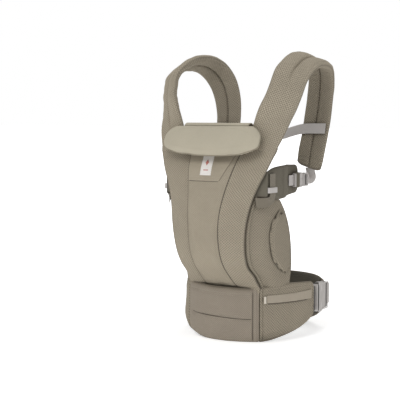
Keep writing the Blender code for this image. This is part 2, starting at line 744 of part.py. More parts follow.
# ---- shoulder straps --------------------------------------------------------------------------------
# +X side: centre x, y, z, plan angle of its width, width, thickness,
# and how many degrees its outer side drops below its inner side
STRAP = [
    (117.5, -171, 438, 1, 77, 8, 0), (122, -168, 458, 3, 77, 10, 0),
    (134, -162, 490, 13, 78, 14, 0), (144, -153, 523, 30, 78, 18, 0),
    (153, -143, 549, 36, 78, 19, 2), (160, -134, 576, 34, 78, 19, 5),
    (164, -117, 610, 30, 78, 19, 11), (164, -88, 631, 24, 78, 19, 17),
    (162, -54, 645, 14, 78, 19, 21), (160, -20, 649, 8, 78, 19, 22),
    (157, 12, 646, 4, 77, 19, 20), (152, 38, 635, 1, 76, 18, 17),
    (146, 56, 615, 0, 74, 17, 12), (140, 66, 590, 3, 72, 17, 8),
    (134, 70, 555, 4, 70, 16, 4), (129, 69, 515, 4, 70, 16, 0),
    (126, 62, 475, 3, 70, 16, 0), (123, 52, 436, 2, 70, 15, 0),
    (121, 44, 398, 0, 66, 12, 0),
]
# the left strap hangs a little differently behind: row -> (towards the middle, turn of its width)
STRAP_LEFT = {11: (0, -3), 12: (2, -6), 13: (4, -9), 14: (5, -10), 15: (3, -5)}


def strap_rings(sign, inset):
    rows = [list(row) for row in STRAP]
    if sign < 0:
        for i, (inward, turn) in STRAP_LEFT.items():
            rows[i][0] -= inward
            rows[i][3] += turn
    centres = [vec(*row[:3]) for row in rows]
    rings = []
    for i, (_, _, _, plan_angle, width, thick, bank) in enumerate(rows):
        along = tangent(centres, i) if i else UP
        angle = math.radians(plan_angle)
        across = perpendicular(vec(math.cos(angle), math.sin(angle), 0), along)
        face = unit(np.cross(across, along))
        drop = math.radians(bank)
        across = across * math.cos(drop) - face * math.sin(drop)
        face = unit(np.cross(across, along))
        ring = section(centres[i], across, face, width / 2, thick / 2, inset, edge=0.45)
        rings.append([p * vec(sign, 1, 1) for p in ring])
    return rings


# ---- chest strap --------------------------------------------------------------------------------------
CHEST_ACROSS = unit(vec(0, 0.18, 0.984))   # width direction, leaning back at the top
CHEST = Buckle(
    "chest", mouth=vec(4.0, 50.0, 475.0), along=RIGHT, across=CHEST_ACROSS,
    out=unit(np.cross(RIGHT, CHEST_ACROSS)), width=35.0, thick=10.5, socket_length=34.0,
    tongue_length=24.0, web_width=NARROW_WEB, has_prongs=True)
# distance from the middle, then y and z from the buckle
CHEST_LINE = [
    (46, 0, 0), (70, 0, 6.5), (92, 0.5, 12), (112, 0.5, 14), (146, 0, 14.5), (160, 0, 14.5),
]


def chest_webbing():
    _, base_y, base_z = CHEST.mouth
    for sign, side in SIDES:
        near = CHEST.socket_web_end() if sign < 0 else CHEST.tongue_web_end()
        points = [near] + [vec(sign * x, base_y + y, base_z + z) for x, y, z in CHEST_LINE]
        web(f"chest_web_{side}", points, [CHEST_ACROSS] * 7, [vec(0, -1, 0.1)] * 7)


# ---- assembly -------------------------------------------------------------------------------------------
def clear_scene():
    for obj in list(bpy.data.objects):
        bpy.data.objects.remove(obj, do_unlink=True)


def build_side(sign, side):
    thigh_wing(sign, side)
    thigh_pad(sign, side)
    padded_part(f"side_arm_{side}", partial(arm_rings, sign), "dark_lining")
    arm_adjuster_web(sign, side)
    arm_slider(sign, side)
    buckle = shoulder_buckle(sign, side)
    arm_end_web(sign, side, buckle)
    build_buckle(buckle)
    strap_end_web(side, buckle)
    padded_part(f"shoulder_strap_{side}", partial(strap_rings, sign), "khaki_mesh")


def main():
    clear_scene()
    belt_parts()
    lumbar_cushion()
    pocket_flap()
    waist_keeper()
    waist_webbing()
    build_buckle(WAIST)
    zip_pull()
    centre_panel()
    side_panels()
    pocket_and_label()
    head_pillow()
    pillow_fold_strip()
    for sign, side in SIDES:
        build_side(sign, side)
    build_buckle(CHEST)
    chest_webbing()
    # everything is built about the belt's centre, then moved onto the origin
    for obj in bpy.data.objects:
        obj.location.y += DEPTH_SHIFT * MM


main()
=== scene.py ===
"""A soft child carrier, buckled up and standing on its waist belt.

The design is in millimetres: z is up, the front panel faces -y, the part's right side is +x,
and the belt is an ellipse round the z axis. SHIFT moves the design to the part's own origin,
and MM turns it into metres. Belt angles are in degrees: 0 is right, -90 is front.
"""
import math

import bmesh
import bpy
import numpy as np
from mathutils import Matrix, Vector, noise
from mathutils.bvhtree import BVHTree


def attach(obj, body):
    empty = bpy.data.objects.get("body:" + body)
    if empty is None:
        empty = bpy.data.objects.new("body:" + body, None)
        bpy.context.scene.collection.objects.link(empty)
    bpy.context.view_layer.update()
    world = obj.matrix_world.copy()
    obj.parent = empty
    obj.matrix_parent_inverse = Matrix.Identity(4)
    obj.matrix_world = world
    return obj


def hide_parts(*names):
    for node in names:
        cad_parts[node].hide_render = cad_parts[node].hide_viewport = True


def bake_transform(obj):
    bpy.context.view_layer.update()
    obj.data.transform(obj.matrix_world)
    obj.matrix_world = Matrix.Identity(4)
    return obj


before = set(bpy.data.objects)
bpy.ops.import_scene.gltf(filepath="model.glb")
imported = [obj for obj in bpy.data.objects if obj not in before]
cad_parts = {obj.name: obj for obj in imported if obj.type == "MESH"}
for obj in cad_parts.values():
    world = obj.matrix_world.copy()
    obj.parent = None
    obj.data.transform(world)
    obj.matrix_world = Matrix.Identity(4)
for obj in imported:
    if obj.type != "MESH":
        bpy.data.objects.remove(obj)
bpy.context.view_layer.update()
MM = 0.001
SHIFT = np.array((0.0, 28.19, 0.0))

SIDES = ((1, "right"), (-1, "left"))
X_AXIS = np.array((1.0, 0.0, 0.0))
Y_AXIS = np.array((0.0, 1.0, 0.0))
Z_AXIS = np.array((0.0, 0.0, 1.0))
FRONT = (0.0, -1.0, 0.0)


# ------------------------------------------------------------------ shaping helpers
def unit(v):
    v = np.asarray(v, float)
    return v / np.maximum(np.linalg.norm(v, axis=-1, keepdims=True), 1e-12)


def curve(table, at, column):
    """Smooth value of a table column where the first column is at (scalar or array)."""
    xs, ys = table[:, 0], table[:, column]
    at = np.clip(np.asarray(at, float), xs[0], xs[-1])
    i = np.clip(np.searchsorted(xs, at) - 1, 0, len(xs) - 2)
    slope = np.empty_like(ys)
    slope[1:-1] = (ys[2:] - ys[:-2]) / (xs[2:] - xs[:-2])
    slope[0] = (ys[1] - ys[0]) / (xs[1] - xs[0])
    slope[-1] = (ys[-1] - ys[-2]) / (xs[-1] - xs[-2])
    gap = xs[i + 1] - xs[i]
    s = (at - xs[i]) / gap
    return ((2 * s**3 - 3 * s**2 + 1) * ys[i] + (s**3 - 2 * s**2 + s) * gap * slope[i]
            + (-2 * s**3 + 3 * s**2) * ys[i + 1] + (s**3 - s**2) * gap * slope[i + 1])


def spread(count, start, end, edge):
    """Positions from start to end, drawn closer towards both ends as edge grows to 1."""
    even = np.linspace(0, 1, count)
    eased = (1 - np.cos(math.pi * even)) / 2
    return start + (end - start) * ((1 - edge) * even + edge * eased)


def crown(s, power, root):
    """Padding profile: 1 in the middle, 0 where s is -1 or 1."""
    return np.maximum(1 - np.abs(s) ** power, 0.0) ** root


def hill(x, centre, width):
    return np.exp(-((x - centre) / width) ** 2)


def groove(x, centre, width, depth):
    return -depth * hill(x, centre, width)


def arc_length(points):
    return np.concatenate([[0], np.cumsum(np.linalg.norm(np.diff(points, axis=0), axis=1))])


def interp_points(at, lengths, points):
    return np.stack([np.interp(at, lengths, points[:, k]) for k in range(3)], -1)


def smoothed(points, rounds):
    """Line with its inner points averaged with their neighbours."""
    points = points.copy()
    for _ in range(rounds):
        points[1:-1] = (points[:-2] + points[1:-1] * 2 + points[2:]) / 4
    return points


def mirror(side, points):
    return np.asarray(points, float) * np.array((side, 1.0, 1.0))


# ------------------------------------------------------------------ materials (metres)
def scaled(color, factor):
    return tuple(min(1.0, x * factor) for x in color)


class Surface:
    """A material's node tree, with short ways to add nodes to it."""

    def __init__(self, name):
        self.material = bpy.data.materials.new(name)
        self.material.use_nodes = True
        self.tree = self.material.node_tree
        self.shader = self.tree.nodes["Principled BSDF"]

    def node(self, kind, **props):
        node = self.tree.nodes.new(kind)
        for key, value in props.items():
            setattr(node, key, value)
        return node

    def put(self, socket, value):
        """Link a socket, or set a plain value."""
        if isinstance(value, bpy.types.NodeSocket):
            self.tree.links.new(value, socket)
        else:
            socket.default_value = value

    def math(self, operation, a, b=0.0):
        node = self.node("ShaderNodeMath", operation=operation)
        self.put(node.inputs[0], a)
        self.put(node.inputs[1], b)
        return node.outputs[0]

    def vector(self, operation, a, b=None):
        node = self.node("ShaderNodeVectorMath", operation=operation)
        self.put(node.inputs[0], a)
        if b is not None:
            self.put(node.inputs[1], b)
        return node.outputs["Value" if operation == "LENGTH" else 0]

    def coords(self, kind):
        """UV, whole object space (XYZ), or a plane of it such as XZ."""
        source = self.node("ShaderNodeTexCoord")
        if kind == "UV":
            return source.outputs["UV"]
        if kind == "XYZ":
            return source.outputs["Object"]
        split = self.node("ShaderNodeSeparateXYZ")
        self.put(split.inputs[0], source.outputs["Object"])
        plane = self.node("ShaderNodeCombineXYZ")
        for i in range(2):
            self.put(plane.inputs[i], split.outputs[kind[i]])
        return plane.outputs[0]

    def noise(self, place, scale, detail=3.0, roughness=0.55):
        node = self.node("ShaderNodeTexNoise")
        self.put(node.inputs["Vector"], place)
        node.inputs["Scale"].default_value = scale
        node.inputs["Detail"].default_value = detail
        node.inputs["Roughness"].default_value = roughness
        return node.outputs["Fac"]

    def ramp(self, value, start, end, low=0.0, high=1.0):
        """Smooth step from low to high as value goes from start to end."""
        node = self.node("ShaderNodeMapRange")
        node.interpolation_type = "SMOOTHSTEP"
        self.put(node.inputs["Value"], value)
        node.inputs["From Min"].default_value = start
        node.inputs["From Max"].default_value = end
        node.inputs["To Min"].default_value = low
        node.inputs["To Max"].default_value = high
        return node.outputs["Result"]

    def mix(self, factor, a, b):
        node = self.node("ShaderNodeMix", data_type="RGBA")
        self.put(node.inputs[0], factor)
        for socket, value in ((node.inputs[6], a), (node.inputs[7], b)):
            self.put(socket, value if isinstance(value, bpy.types.NodeSocket) else (*value, 1.0))
        return node.outputs[2]

    def bump(self, height, distance, strength):
        node = self.node("ShaderNodeBump")
        self.put(node.inputs["Height"], height)
        node.inputs["Distance"].default_value = distance
        node.inputs["Strength"].default_value = strength
        return node.outputs[0]

    def paint_fold_shade(self, color, fold_shade):
        """Painted shade: the colour is darkened where ambient occlusion finds folds, seams and
        nearby parts, standing in for the shade that falls there.
        """
        deep_shade = fold_shade > 0.9
        occlusion = self.node("ShaderNodeAmbientOcclusion", samples=6)
        occlusion.inputs["Distance"].default_value = 0.040
        amount = self.ramp(occlusion.outputs["AO"], start=0.10, end=0.95 if deep_shade else 0.80,
                           low=fold_shade, high=0.0)
        dark = self.node("ShaderNodeMix", data_type="RGBA", blend_type="MULTIPLY")
        dark.inputs[0].default_value = 1.0
        dark.inputs[7].default_value = (0.36, 0.35, 0.33, 1) if deep_shade else (0.50, 0.48, 0.46, 1)
        self.put(dark.inputs[6], color)
        return self.mix(amount, color, dark.outputs[2])

    def finish(self, color, rough, normal, sheen=0.0, tint=(1, 1, 1), specular=0.3, fold_shade=0.0):
        # paint shade into folds and seams
        if fold_shade:
            color = self.paint_fold_shade(color, fold_shade)
        inputs = self.shader.inputs
        self.put(inputs["Base Color"], color)
        self.put(inputs["Roughness"], rough)
        self.put(inputs["Normal"], normal)
        inputs["Sheen Weight"].default_value = sheen
        inputs["Sheen Roughness"].default_value = 0.45
        inputs["Sheen Tint"].default_value = (*tint, 1)
        inputs["Specular IOR Level"].default_value = specular
        return self.material


def mesh_fabric(name, base, coord="UV", pitch=(0.0060, 0.0066), deep=0.44, hole=(0.14, 0.34),
                fold_shade=0.28):
    """Spacer mesh: staggered dimples over a fine knit. hole is a dimple's inner and outer
    radius in pitches, deep how much darker it is."""
    # the fold shade amount is how strongly painted shade darkens the mesh's folds and seams
    s = Surface(name)
    place = s.coords(coord)
    cells = s.vector("MULTIPLY", place, (1 / pitch[0], 1 / pitch[1], 0))
    wobble = s.noise(place, scale=60, detail=1)
    cells = s.vector("ADD", cells, s.vector("MULTIPLY", wobble, (0.45, 0.45, 0)))
    distances = []
    for offset in ((0, 0, 0), (0.5, 0.5, 0)):
        cell = s.vector("FRACTION", s.vector("ADD", cells, offset))
        from_middle = s.vector("SUBTRACT", cell, (0.5, 0.5, 0))
        distances.append(s.vector("LENGTH", s.vector("MULTIPLY", from_middle, (1, 1, 0))))
    rib = s.ramp(s.math("MINIMUM", *distances), *hole)
    knit = s.noise(s.vector("MULTIPLY", place, (1.0, 0.6, 1.0)), scale=1500, detail=2)
    broad = s.noise(place, scale=14, detail=4)
    medium = s.noise(place, scale=110, detail=3)
    color = s.mix(s.ramp(broad, start=0.3, end=0.7), scaled(base, 0.93), scaled(base, 1.06))
    color = s.mix(s.ramp(medium, start=0.25, end=0.75, high=0.5), color, scaled(base, 0.86))
    color = s.mix(rib, scaled(base, 1 - deep), color)
    color = s.mix(s.ramp(knit, start=0.35, end=0.75, high=0.22), color, scaled(base, 1.35))
    height = s.math("ADD", rib, s.math("MULTIPLY", knit, 0.22))
    rough = s.math("SUBTRACT", 0.97, s.math("MULTIPLY", rib, 0.08))
    return s.finish(color, rough, s.bump(height, distance=0.0009, strength=0.85),
                    sheen=0.25, tint=scaled(base, 1.9), specular=0.2, fold_shade=fold_shade)


def woven(name, base, coord="UV", pitch=0.0011, rough=0.9, sheen=0.2, slub=1.0, relief=0.00022,
          vary=1.0):
    """Plain weave with warp and weft floats, melange colour and slubs."""
    s = Surface(name)
    place = s.coords(coord)
    split = s.node("ShaderNodeSeparateXYZ")
    s.put(split.inputs[0], s.vector("MULTIPLY", place, (2 * math.pi / pitch,) * 2 + (0,)))
    warp = s.math("SINE", split.outputs[0])
    weft = s.math("SINE", split.outputs[1])
    weave = s.math("MULTIPLY", warp, weft)
    slub_u = s.noise(s.vector("MULTIPLY", place, (1.0, 9.0, 1.0)), scale=110)
    slub_v = s.noise(s.vector("MULTIPLY", place, (9.0, 1.0, 1.0)), scale=110)
    broad = s.noise(place, scale=11, detail=4)
    color = s.mix(s.ramp(broad, start=0.3, end=0.7),
                  scaled(base, 1 - 0.06 * vary), scaled(base, 1 + 0.05 * vary))
    for threads, shade in ((slub_u, 1.25), (slub_v, 0.78)):
        amount = s.ramp(threads, start=0.45, end=0.75, high=0.30 * slub)
        color = s.mix(amount, color, scaled(base, shade))
    color = s.mix(s.ramp(weave, start=-1, end=1, high=0.16), color, scaled(base, 0.72))
    height = s.math("ADD", s.math("MULTIPLY", weave, 0.5), s.math("ADD", slub_u, slub_v))
    roughness = s.ramp(slub_u, start=0.3, end=0.7, low=rough - 0.06, high=rough + 0.05)
    # every weave gets a light painted shade in its folds and seams
    return s.finish(color, roughness, s.bump(height, distance=relief, strength=0.8),
                    sheen=sheen, tint=scaled(base, 1.8), specular=0.22, fold_shade=0.25)


def webbing(name, base, width=0.025):
    """Flat webbing: chevron ribs along its length, u along and v across."""
    rib_pitch, cord_pitch = 0.0017, 0.0021
    s = Surface(name)
    place = s.coords("UV")
    split = s.node("ShaderNodeSeparateXYZ")
    s.put(split.inputs[0], place)
    along, across = split.outputs[0], split.outputs[1]
    zigzag = s.math("PINGPONG", s.math("ADD", across, 1.0), width / 10)
    slanted = s.math("ADD", along, s.math("MULTIPLY", zigzag, 1.2))
    rib = s.math("SINE", s.math("MULTIPLY", slanted, 2 * math.pi / rib_pitch))
    cord = s.math("SINE", s.math("MULTIPLY", across, 2 * math.pi / cord_pitch))
    height = s.math("ADD", s.math("MULTIPLY", rib, 0.5), s.math("MULTIPLY", cord, 0.5))
    broad = s.noise(place, scale=26)
    fuzz = s.noise(place, scale=900, detail=2)
    color = s.mix(s.ramp(height, start=-0.8, end=0.9), scaled(base, 0.80), scaled(base, 1.06))
    color = s.mix(s.ramp(broad, start=0.35, end=0.7, high=0.35), color, scaled(base, 0.88))
    rough = s.ramp(fuzz, start=0.3, end=0.7, low=0.72, high=0.86)
    height = s.math("ADD", height, s.math("MULTIPLY", fuzz, 0.3))
    return s.finish(color, rough, s.bump(height, distance=0.00035, strength=0.9),
                    sheen=0.15, tint=(0.9, 0.9, 0.9))


def plastic(name, base, rough=0.36):
    """Moulded acetal: faint texture, flow marks and rubbed high spots."""
    s = Surface(name)
    place = s.coords("XYZ")
    grain = s.noise(place, scale=2600, detail=2)
    flow = s.noise(s.vector("MULTIPLY", place, (1, 1, 3)), scale=60)
    scuff = s.noise(s.vector("MULTIPLY", place, (7, 1, 1)), scale=420, detail=4, roughness=0.7)
    geometry = s.node("ShaderNodeNewGeometry")
    edge = s.ramp(geometry.outputs["Pointiness"], start=0.505, end=0.56)
    color = s.mix(s.ramp(flow, start=0.3, end=0.7), scaled(base, 0.96), scaled(base, 1.03))
    color = s.mix(s.math("MULTIPLY", edge, 0.35), color, scaled(base, 1.22))
    color = s.mix(s.ramp(scuff, start=0.62, end=0.8, high=0.25), color, scaled(base, 1.15))
    roughness = s.math("ADD", s.ramp(scuff, start=0.5, end=0.8, low=rough, high=rough + 0.16),
                       s.math("MULTIPLY", grain, 0.06))
    return s.finish(color, roughness, s.bump(grain, distance=0.00006, strength=0.5),
                    specular=0.45)


def thread(name, base):
    s = Surface(name)
    fibre = s.noise(s.coords("XYZ"), scale=1400, detail=2)
    color = s.mix(s.ramp(fibre, start=0.3, end=0.7), scaled(base, 0.86), scaled(base, 1.12))
    rough = s.ramp(fibre, start=0.3, end=0.7, low=0.55, high=0.7)
    return s.finish(color, rough, s.bump(fibre, distance=0.0001, strength=0.6),
                    sheen=0.1, specular=0.35)


KHAKI = (0.372, 0.325, 0.250)
# finish: (material, slot name). No piece wears belt_fabric.
FINISHES = {
    # the fold shade amounts below paint shade into each material's folds and seams
    "mesh": (mesh_fabric("khaki_spacer_mesh", scaled(KHAKI, 1.04), deep=0.48, fold_shade=0.20),
             "khaki_mesh"),
    # a darker, shaded copy of the khaki spacer mesh with the deepest painted fold shade, used on
    # the thigh wings, the belt's side wings and the inner faces
    "shaded_mesh": (mesh_fabric("shaded_wing_spacer_mesh", scaled(KHAKI, 0.88), deep=0.46, fold_shade=1.0),
                  "khaki_mesh"),
    "belt_mesh": (mesh_fabric("belt_air_mesh", (0.345, 0.298, 0.240), pitch=(0.0046, 0.0050),
                              deep=0.30, hole=(0.16, 0.36)), "khaki_mesh"),
    "fabric": (woven("khaki_woven", KHAKI), "khaki_fabric"),
    "panel_mesh": (mesh_fabric("panel_fine_mesh", scaled(KHAKI, 1.06), pitch=(0.0044, 0.0050),
                               deep=0.26, fold_shade=0.30), "khaki_fabric"),
    "belt_fabric": (woven("belt_woven", (0.345, 0.297, 0.240)), "khaki_mesh"),
    "flap": (woven("flap_woven", (0.372, 0.326, 0.262)), "khaki_mesh"),
    "pad": (mesh_fabric("pad_air_mesh", scaled(KHAKI, 0.80), "YZ", pitch=(0.0052, 0.0058),
                        deep=0.36), "padding_mesh"),
    "pad_mesh": (mesh_fabric("lumbar_mesh", scaled(KHAKI, 0.9), "XZ", deep=0.5),
                 "padding_mesh"),
    "pillow": (woven("pillow_woven", (0.455, 0.415, 0.325), "XZ", pitch=0.0009, rough=0.86,
                     sheen=0.25, slub=0.5, relief=0.00016, vary=0.7), "pillow_fabric"),
    # piping darker than the pillow: a real piping, darkened to paint the shadow line along the
    # pillow's lower edge
    "pillow_rim_shade": (woven("pillow_rim_shaded_piping", (0.30, 0.268, 0.205), pitch=0.0008, slub=0.4),
                    "pillow_fabric"),
    "lining": (woven("dark_lining_woven", (0.105, 0.096, 0.076), slub=0.6), "dark_lining"),
    "arm": (woven("arm_woven", (0.150, 0.136, 0.106), slub=0.7), "dark_lining"),
    "binding": (woven("binding_tape", (0.215, 0.187, 0.145), pitch=0.0009, slub=0.5),
                "khaki_fabric"),
    "cord": (woven("khaki_piping", (0.255, 0.224, 0.174), pitch=0.0008, slub=0.4),
             "khaki_fabric"),
    "piping": (woven("dark_piping", (0.125, 0.109, 0.086), pitch=0.0008, slub=0.4),
               "dark_lining"),
    "tape": (woven("cream_tape", (0.62, 0.57, 0.49), pitch=0.0008, slub=0.4), "tab_cream"),
    "label": (woven("label_satin", (0.80, 0.77, 0.73), pitch=0.0006, rough=0.6, sheen=0.1,
                    slub=0.25, relief=0.0001, vary=0.3), "label_white"),
    "mark": (woven("label_mark_thread", (0.52, 0.20, 0.17), pitch=0.0007, rough=0.6, slub=0.3,
                   relief=0.0001), "label_white"),
    "web": (webbing("grey_webbing", (0.640, 0.605, 0.580)), "webbing_grey"),
    "web_wide": (webbing("grey_webbing_wide", (0.560, 0.530, 0.505), width=0.050),
                 "webbing_grey"),
    "web_khaki": (webbing("khaki_webbing", scaled(KHAKI, 0.62)), "khaki_fabric"),
    "elastic": (webbing("dark_elastic", (0.075, 0.068, 0.060), width=0.02), "dark_elastic"),
    "plastic": (plastic("grey_acetal", (0.455, 0.430, 0.412)), "buckle_grey"),
    "thread": (thread("khaki_thread", (0.42, 0.37, 0.29)), "khaki_fabric"),
    "thread_dark": (thread("dark_thread", (0.17, 0.15, 0.12)), "dark_lining"),
    "thread_pale": (thread("pale_thread", (0.60, 0.56, 0.50)), "pillow_fabric"),
}


# ------------------------------------------------------------------ mesh building
def in_metres(point):
    return (np.asarray(point) + SHIFT) * MM


def register(obj, finish, body="carrier", replaces=()):
    """Dress a piece and attach it to body, a name. body may instead be (body, body, start, end)
    for a piece between two bodies; such a piece is neither attached nor bent, only baked in
    place, and the tuple's entries are not used."""
    material, slot = FINISHES[finish]
    obj.data.materials.clear()
    obj.data.materials.append(material)
    rides_one = isinstance(body, str)
    if rides_one:
        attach(obj, body)
    if replaces:
        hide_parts(*replaces)
    if not rides_one:
        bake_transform(obj)
    return obj


def add_mesh(name, points, faces, uvs=None, smooth=True):
    """Object from points in mm; uvs is one (u, v) in metres per face corner."""
    mesh = bpy.data.meshes.new(name)
    mesh.from_pydata(in_metres(points).tolist(), [], faces)
    if uvs is not None:
        layer = mesh.uv_layers.new(name="UVMap")
        layer.data.foreach_set("uv", np.asarray(uvs, np.float32).ravel())
    for polygon in mesh.polygons:
        polygon.use_smooth = smooth
    obj = bpy.data.objects.new(name, mesh)
    bpy.context.scene.collection.objects.link(obj)
    return obj


def face_outwards(obj):
    bm = bmesh.new()
    bm.from_mesh(obj.data)
    bmesh.ops.recalc_face_normals(bm, faces=bm.faces)
    bm.to_mesh(obj.data)
    bm.free()


def read_vertices(mesh, field="co"):
    values = np.empty(len(mesh.vertices) * 3)
    mesh.vertices.foreach_get(field, values)
    return values.reshape(-1, 3)


def write_vertices(mesh, points):
    mesh.vertices.foreach_set("co", points.ravel())
    mesh.update()


def ruffle(obj, height, size, stretch, seed):
    """Small cloth unevenness along the normals; height and size in mm."""
    points = read_vertices(obj.data)
    places = points * (np.array(stretch) / (size * MM)) + seed
    lift = np.array([noise.noise(Vector(p)) + 0.45 * noise.noise(Vector(p * 2.3 + 7))
                     for p in places])
    points += read_vertices(obj.data, "normal") * (lift * height * MM)[:, None]
    write_vertices(obj.data, points)


class Sheet:
    """A surface grid with an outer and an inner skin, joined round its border.

    out and inn are the skins' distances from the middle surface. The outer skin lies to the
    side that facing points to, judged at the grid place given. along and across are the
    surface parameters of the rows and columns.
    """

    def __init__(self, middle, out, inn, facing, place=..., along=None, across=None):
        normal = unit(np.cross(np.gradient(middle, axis=0), np.gradient(middle, axis=1)))
        self.flip = (normal[place] * facing).sum() < 0
        self.normal = -normal if self.flip else normal
        self.along, self.across = along, across
        size = middle.shape[:2]
        self.outer = middle + self.normal * np.broadcast_to(out, size)[..., None]
        self.inner = middle - self.normal * np.broadcast_to(inn, size)[..., None]

    def at(self, along, across, lift=0.0, back=False):
        """Points and normals on a skin at fractional grid places (0 to 1)."""
        skin = self.inner if back else self.outer
        rows, columns = skin.shape[:2]
        along, across = np.broadcast_arrays(np.asarray(along, float), np.asarray(across, float))
        x, y = np.clip(along, 0, 1) * (rows - 1), np.clip(across, 0, 1) * (columns - 1)
        i, j = np.minimum(x.astype(int), rows - 2), np.minimum(y.astype(int), columns - 2)
        p, q = (x - i)[..., None], (y - j)[..., None]

        def blended(grid):
            return (grid[i, j] * (1 - p) * (1 - q) + grid[i + 1, j] * p * (1 - q)
                    + grid[i, j + 1] * (1 - p) * q + grid[i + 1, j + 1] * p * q)
        normals = unit(blended(self.normal))
        return blended(skin) + normals * (-lift if back else lift), normals

    def line(self, along, across, lift=0.0, back=False, count=60):
        """Points and normals on a line; each parameter is a number, a (from, to) tuple or
        an array."""
        def values(given, number):
            if isinstance(given, tuple):
                return np.linspace(*given, number)
            return np.full(number, given) if np.ndim(given) == 0 else given
        along = values(along, count)
        across = values(across, len(along))
        return self.at(np.interp(along, self.along, np.linspace(0, 1, len(self.along))),
                       np.interp(across, self.across, np.linspace(0, 1, len(self.across))),
                       lift, back)

    def build(self, name, finish, replaces=(), ruffled=None, body="carrier"):
        rows, columns = self.outer.shape[:2]
        half = columns // 2
        length = arc_length(self.outer[:, half])
        steps = np.linalg.norm(np.diff(self.outer, axis=1), axis=2)
        width = np.concatenate([np.zeros((rows, 1)), np.cumsum(steps, axis=1)], axis=1)
        width = width - width[:, half][:, None]
        uv = np.stack([np.repeat(length[:, None], columns, 1), width], -1).reshape(-1, 2) * MM
        uv = np.concatenate([uv, uv + (0.0, 0.003)])
        index = np.arange(rows * columns).reshape(rows, columns)
        quads = np.stack([index[:-1, :-1], index[1:, :-1], index[1:, 1:], index[:-1, 1:]],
                         -1).reshape(-1, 4)
        loop = np.concatenate([index[:, 0], index[-1, 1:], index[-2::-1, -1],
                               index[0, -2:0:-1]])
        after = np.roll(loop, -1)
        rim = np.stack([loop, loop + index.size, after + index.size, after], -1)
        if self.flip:
            quads, rim = quads[:, ::-1], rim[:, ::-1]
        faces = np.concatenate([quads, quads[:, ::-1] + index.size, rim])
        points = np.concatenate([self.outer.reshape(-1, 3), self.inner.reshape(-1, 3)])
        obj = add_mesh(name, points, faces.tolist(), uv[faces.ravel()])
        bm = bmesh.new()
        bm.from_mesh(obj.data)
        if bm.calc_volume(signed=True) < 0:
            bmesh.ops.reverse_faces(bm, faces=bm.faces)
        bm.to_mesh(obj.data)
        bm.free()
        if ruffled:
            ruffle(obj, *ruffled)
        register(obj, finish, body, replaces)


def tube(name, points, radius, finish, sides=8, step=2.5, flat=1.0, body="carrier"):
    """Cord or piping along points, thin at both ends; flat scales its second radius."""
    points = np.asarray(points, float)
    lengths = arc_length(points)
    count = max(2, int(round(lengths[-1] / step)) + 1)
    points = interp_points(np.linspace(0, lengths[-1], count), lengths, points)
    ahead = unit(np.gradient(points, axis=0))
    reference = Z_AXIS if abs(ahead[0][2]) < 0.9 else Y_AXIS
    first = [unit(np.cross(ahead[0], reference))]
    for i in range(1, count):
        first.append(unit(first[-1] - ahead[i] * np.dot(first[-1], ahead[i])))
    first = np.array(first)
    second = unit(np.cross(ahead, first))
    angles = np.linspace(0, 2 * math.pi, sides, endpoint=False)
    taper = np.ones(count)
    taper[0] = taper[-1] = 0.35
    circle = (first[:, None] * np.cos(angles)[None, :, None]
              + second[:, None] * np.sin(angles)[None, :, None] * flat)
    rings = points[:, None] + circle * (radius * taper)[:, None, None]
    faces, uvs = [], []
    side_width = radius * 6.28 / sides * MM
    for i in range(count - 1):
        for j in range(sides):
            k = (j + 1) % sides
            faces.append((i * sides + j, i * sides + k, (i + 1) * sides + k,
                          (i + 1) * sides + j))
            u0, u1 = i * step * MM, (i + 1) * step * MM
            v0, v1 = j * side_width, (j + 1) * side_width
            uvs += [(u0, v0), (u0, v1), (u1, v1), (u1, v0)]
    faces.append(tuple(range(sides))[::-1])
    faces.append(tuple((count - 1) * sides + j for j in range(sides)))
    uvs += [(0, 0)] * (2 * sides)
    register(add_mesh(name, rings.reshape(-1, 3), faces, uvs), finish, body)


def edge_binding(name, sheet, along, across, radius, finish="binding", flat=1.0, inner=None):
    """Folded tape along a line of grid places, midway between the outer and inner skins."""
    outside, _ = sheet.at(along, across)
    inside, _ = (inner or sheet).at(along, across, back=True)
    tube(name, (outside + inside) / 2, radius, finish, sides=10, flat=flat)


def long_bindings(stem, sheet, top_radius, finish="binding", count=160):
    """Flattened tapes along a sheet's top and bottom edges."""
    places = np.linspace(0, 1, count)
    for end, across, radius, tag in stem:
        edge_binding(f"{end}_{tag}_binding", sheet, places, across, radius, finish, 1.25)


stitches = {}           # (key, finish, body): rows of stitches


def stitch(key, points, normals, spacing=4.2, length=2.7, radius=0.36, finish="thread",
           body="carrier"):
    """Stitches along a line on a surface, gathered per key into one piece."""
    points = np.asarray(points, float)
    lengths = arc_length(points)
    count = int(lengths[-1] / spacing)
    if count < 1:
        return
    middles = (np.arange(count) + 0.5) * lengths[-1] / count
    up = unit(interp_points(middles, lengths, normals))
    start = interp_points(middles - length / 2, lengths, points)
    end = interp_points(middles + length / 2, lengths, points)
    across = unit(np.cross(up, unit(end - start)))
    stitches.setdefault((key, finish, body), []).append((start, end, up, across, radius))


def sew(key, sheet, along, across, count=60, back=False, lift=0.05, **look):
    """Stitch along a line of a sheet."""
    stitch(key, *sheet.line(along, across, lift, back, count), **look)


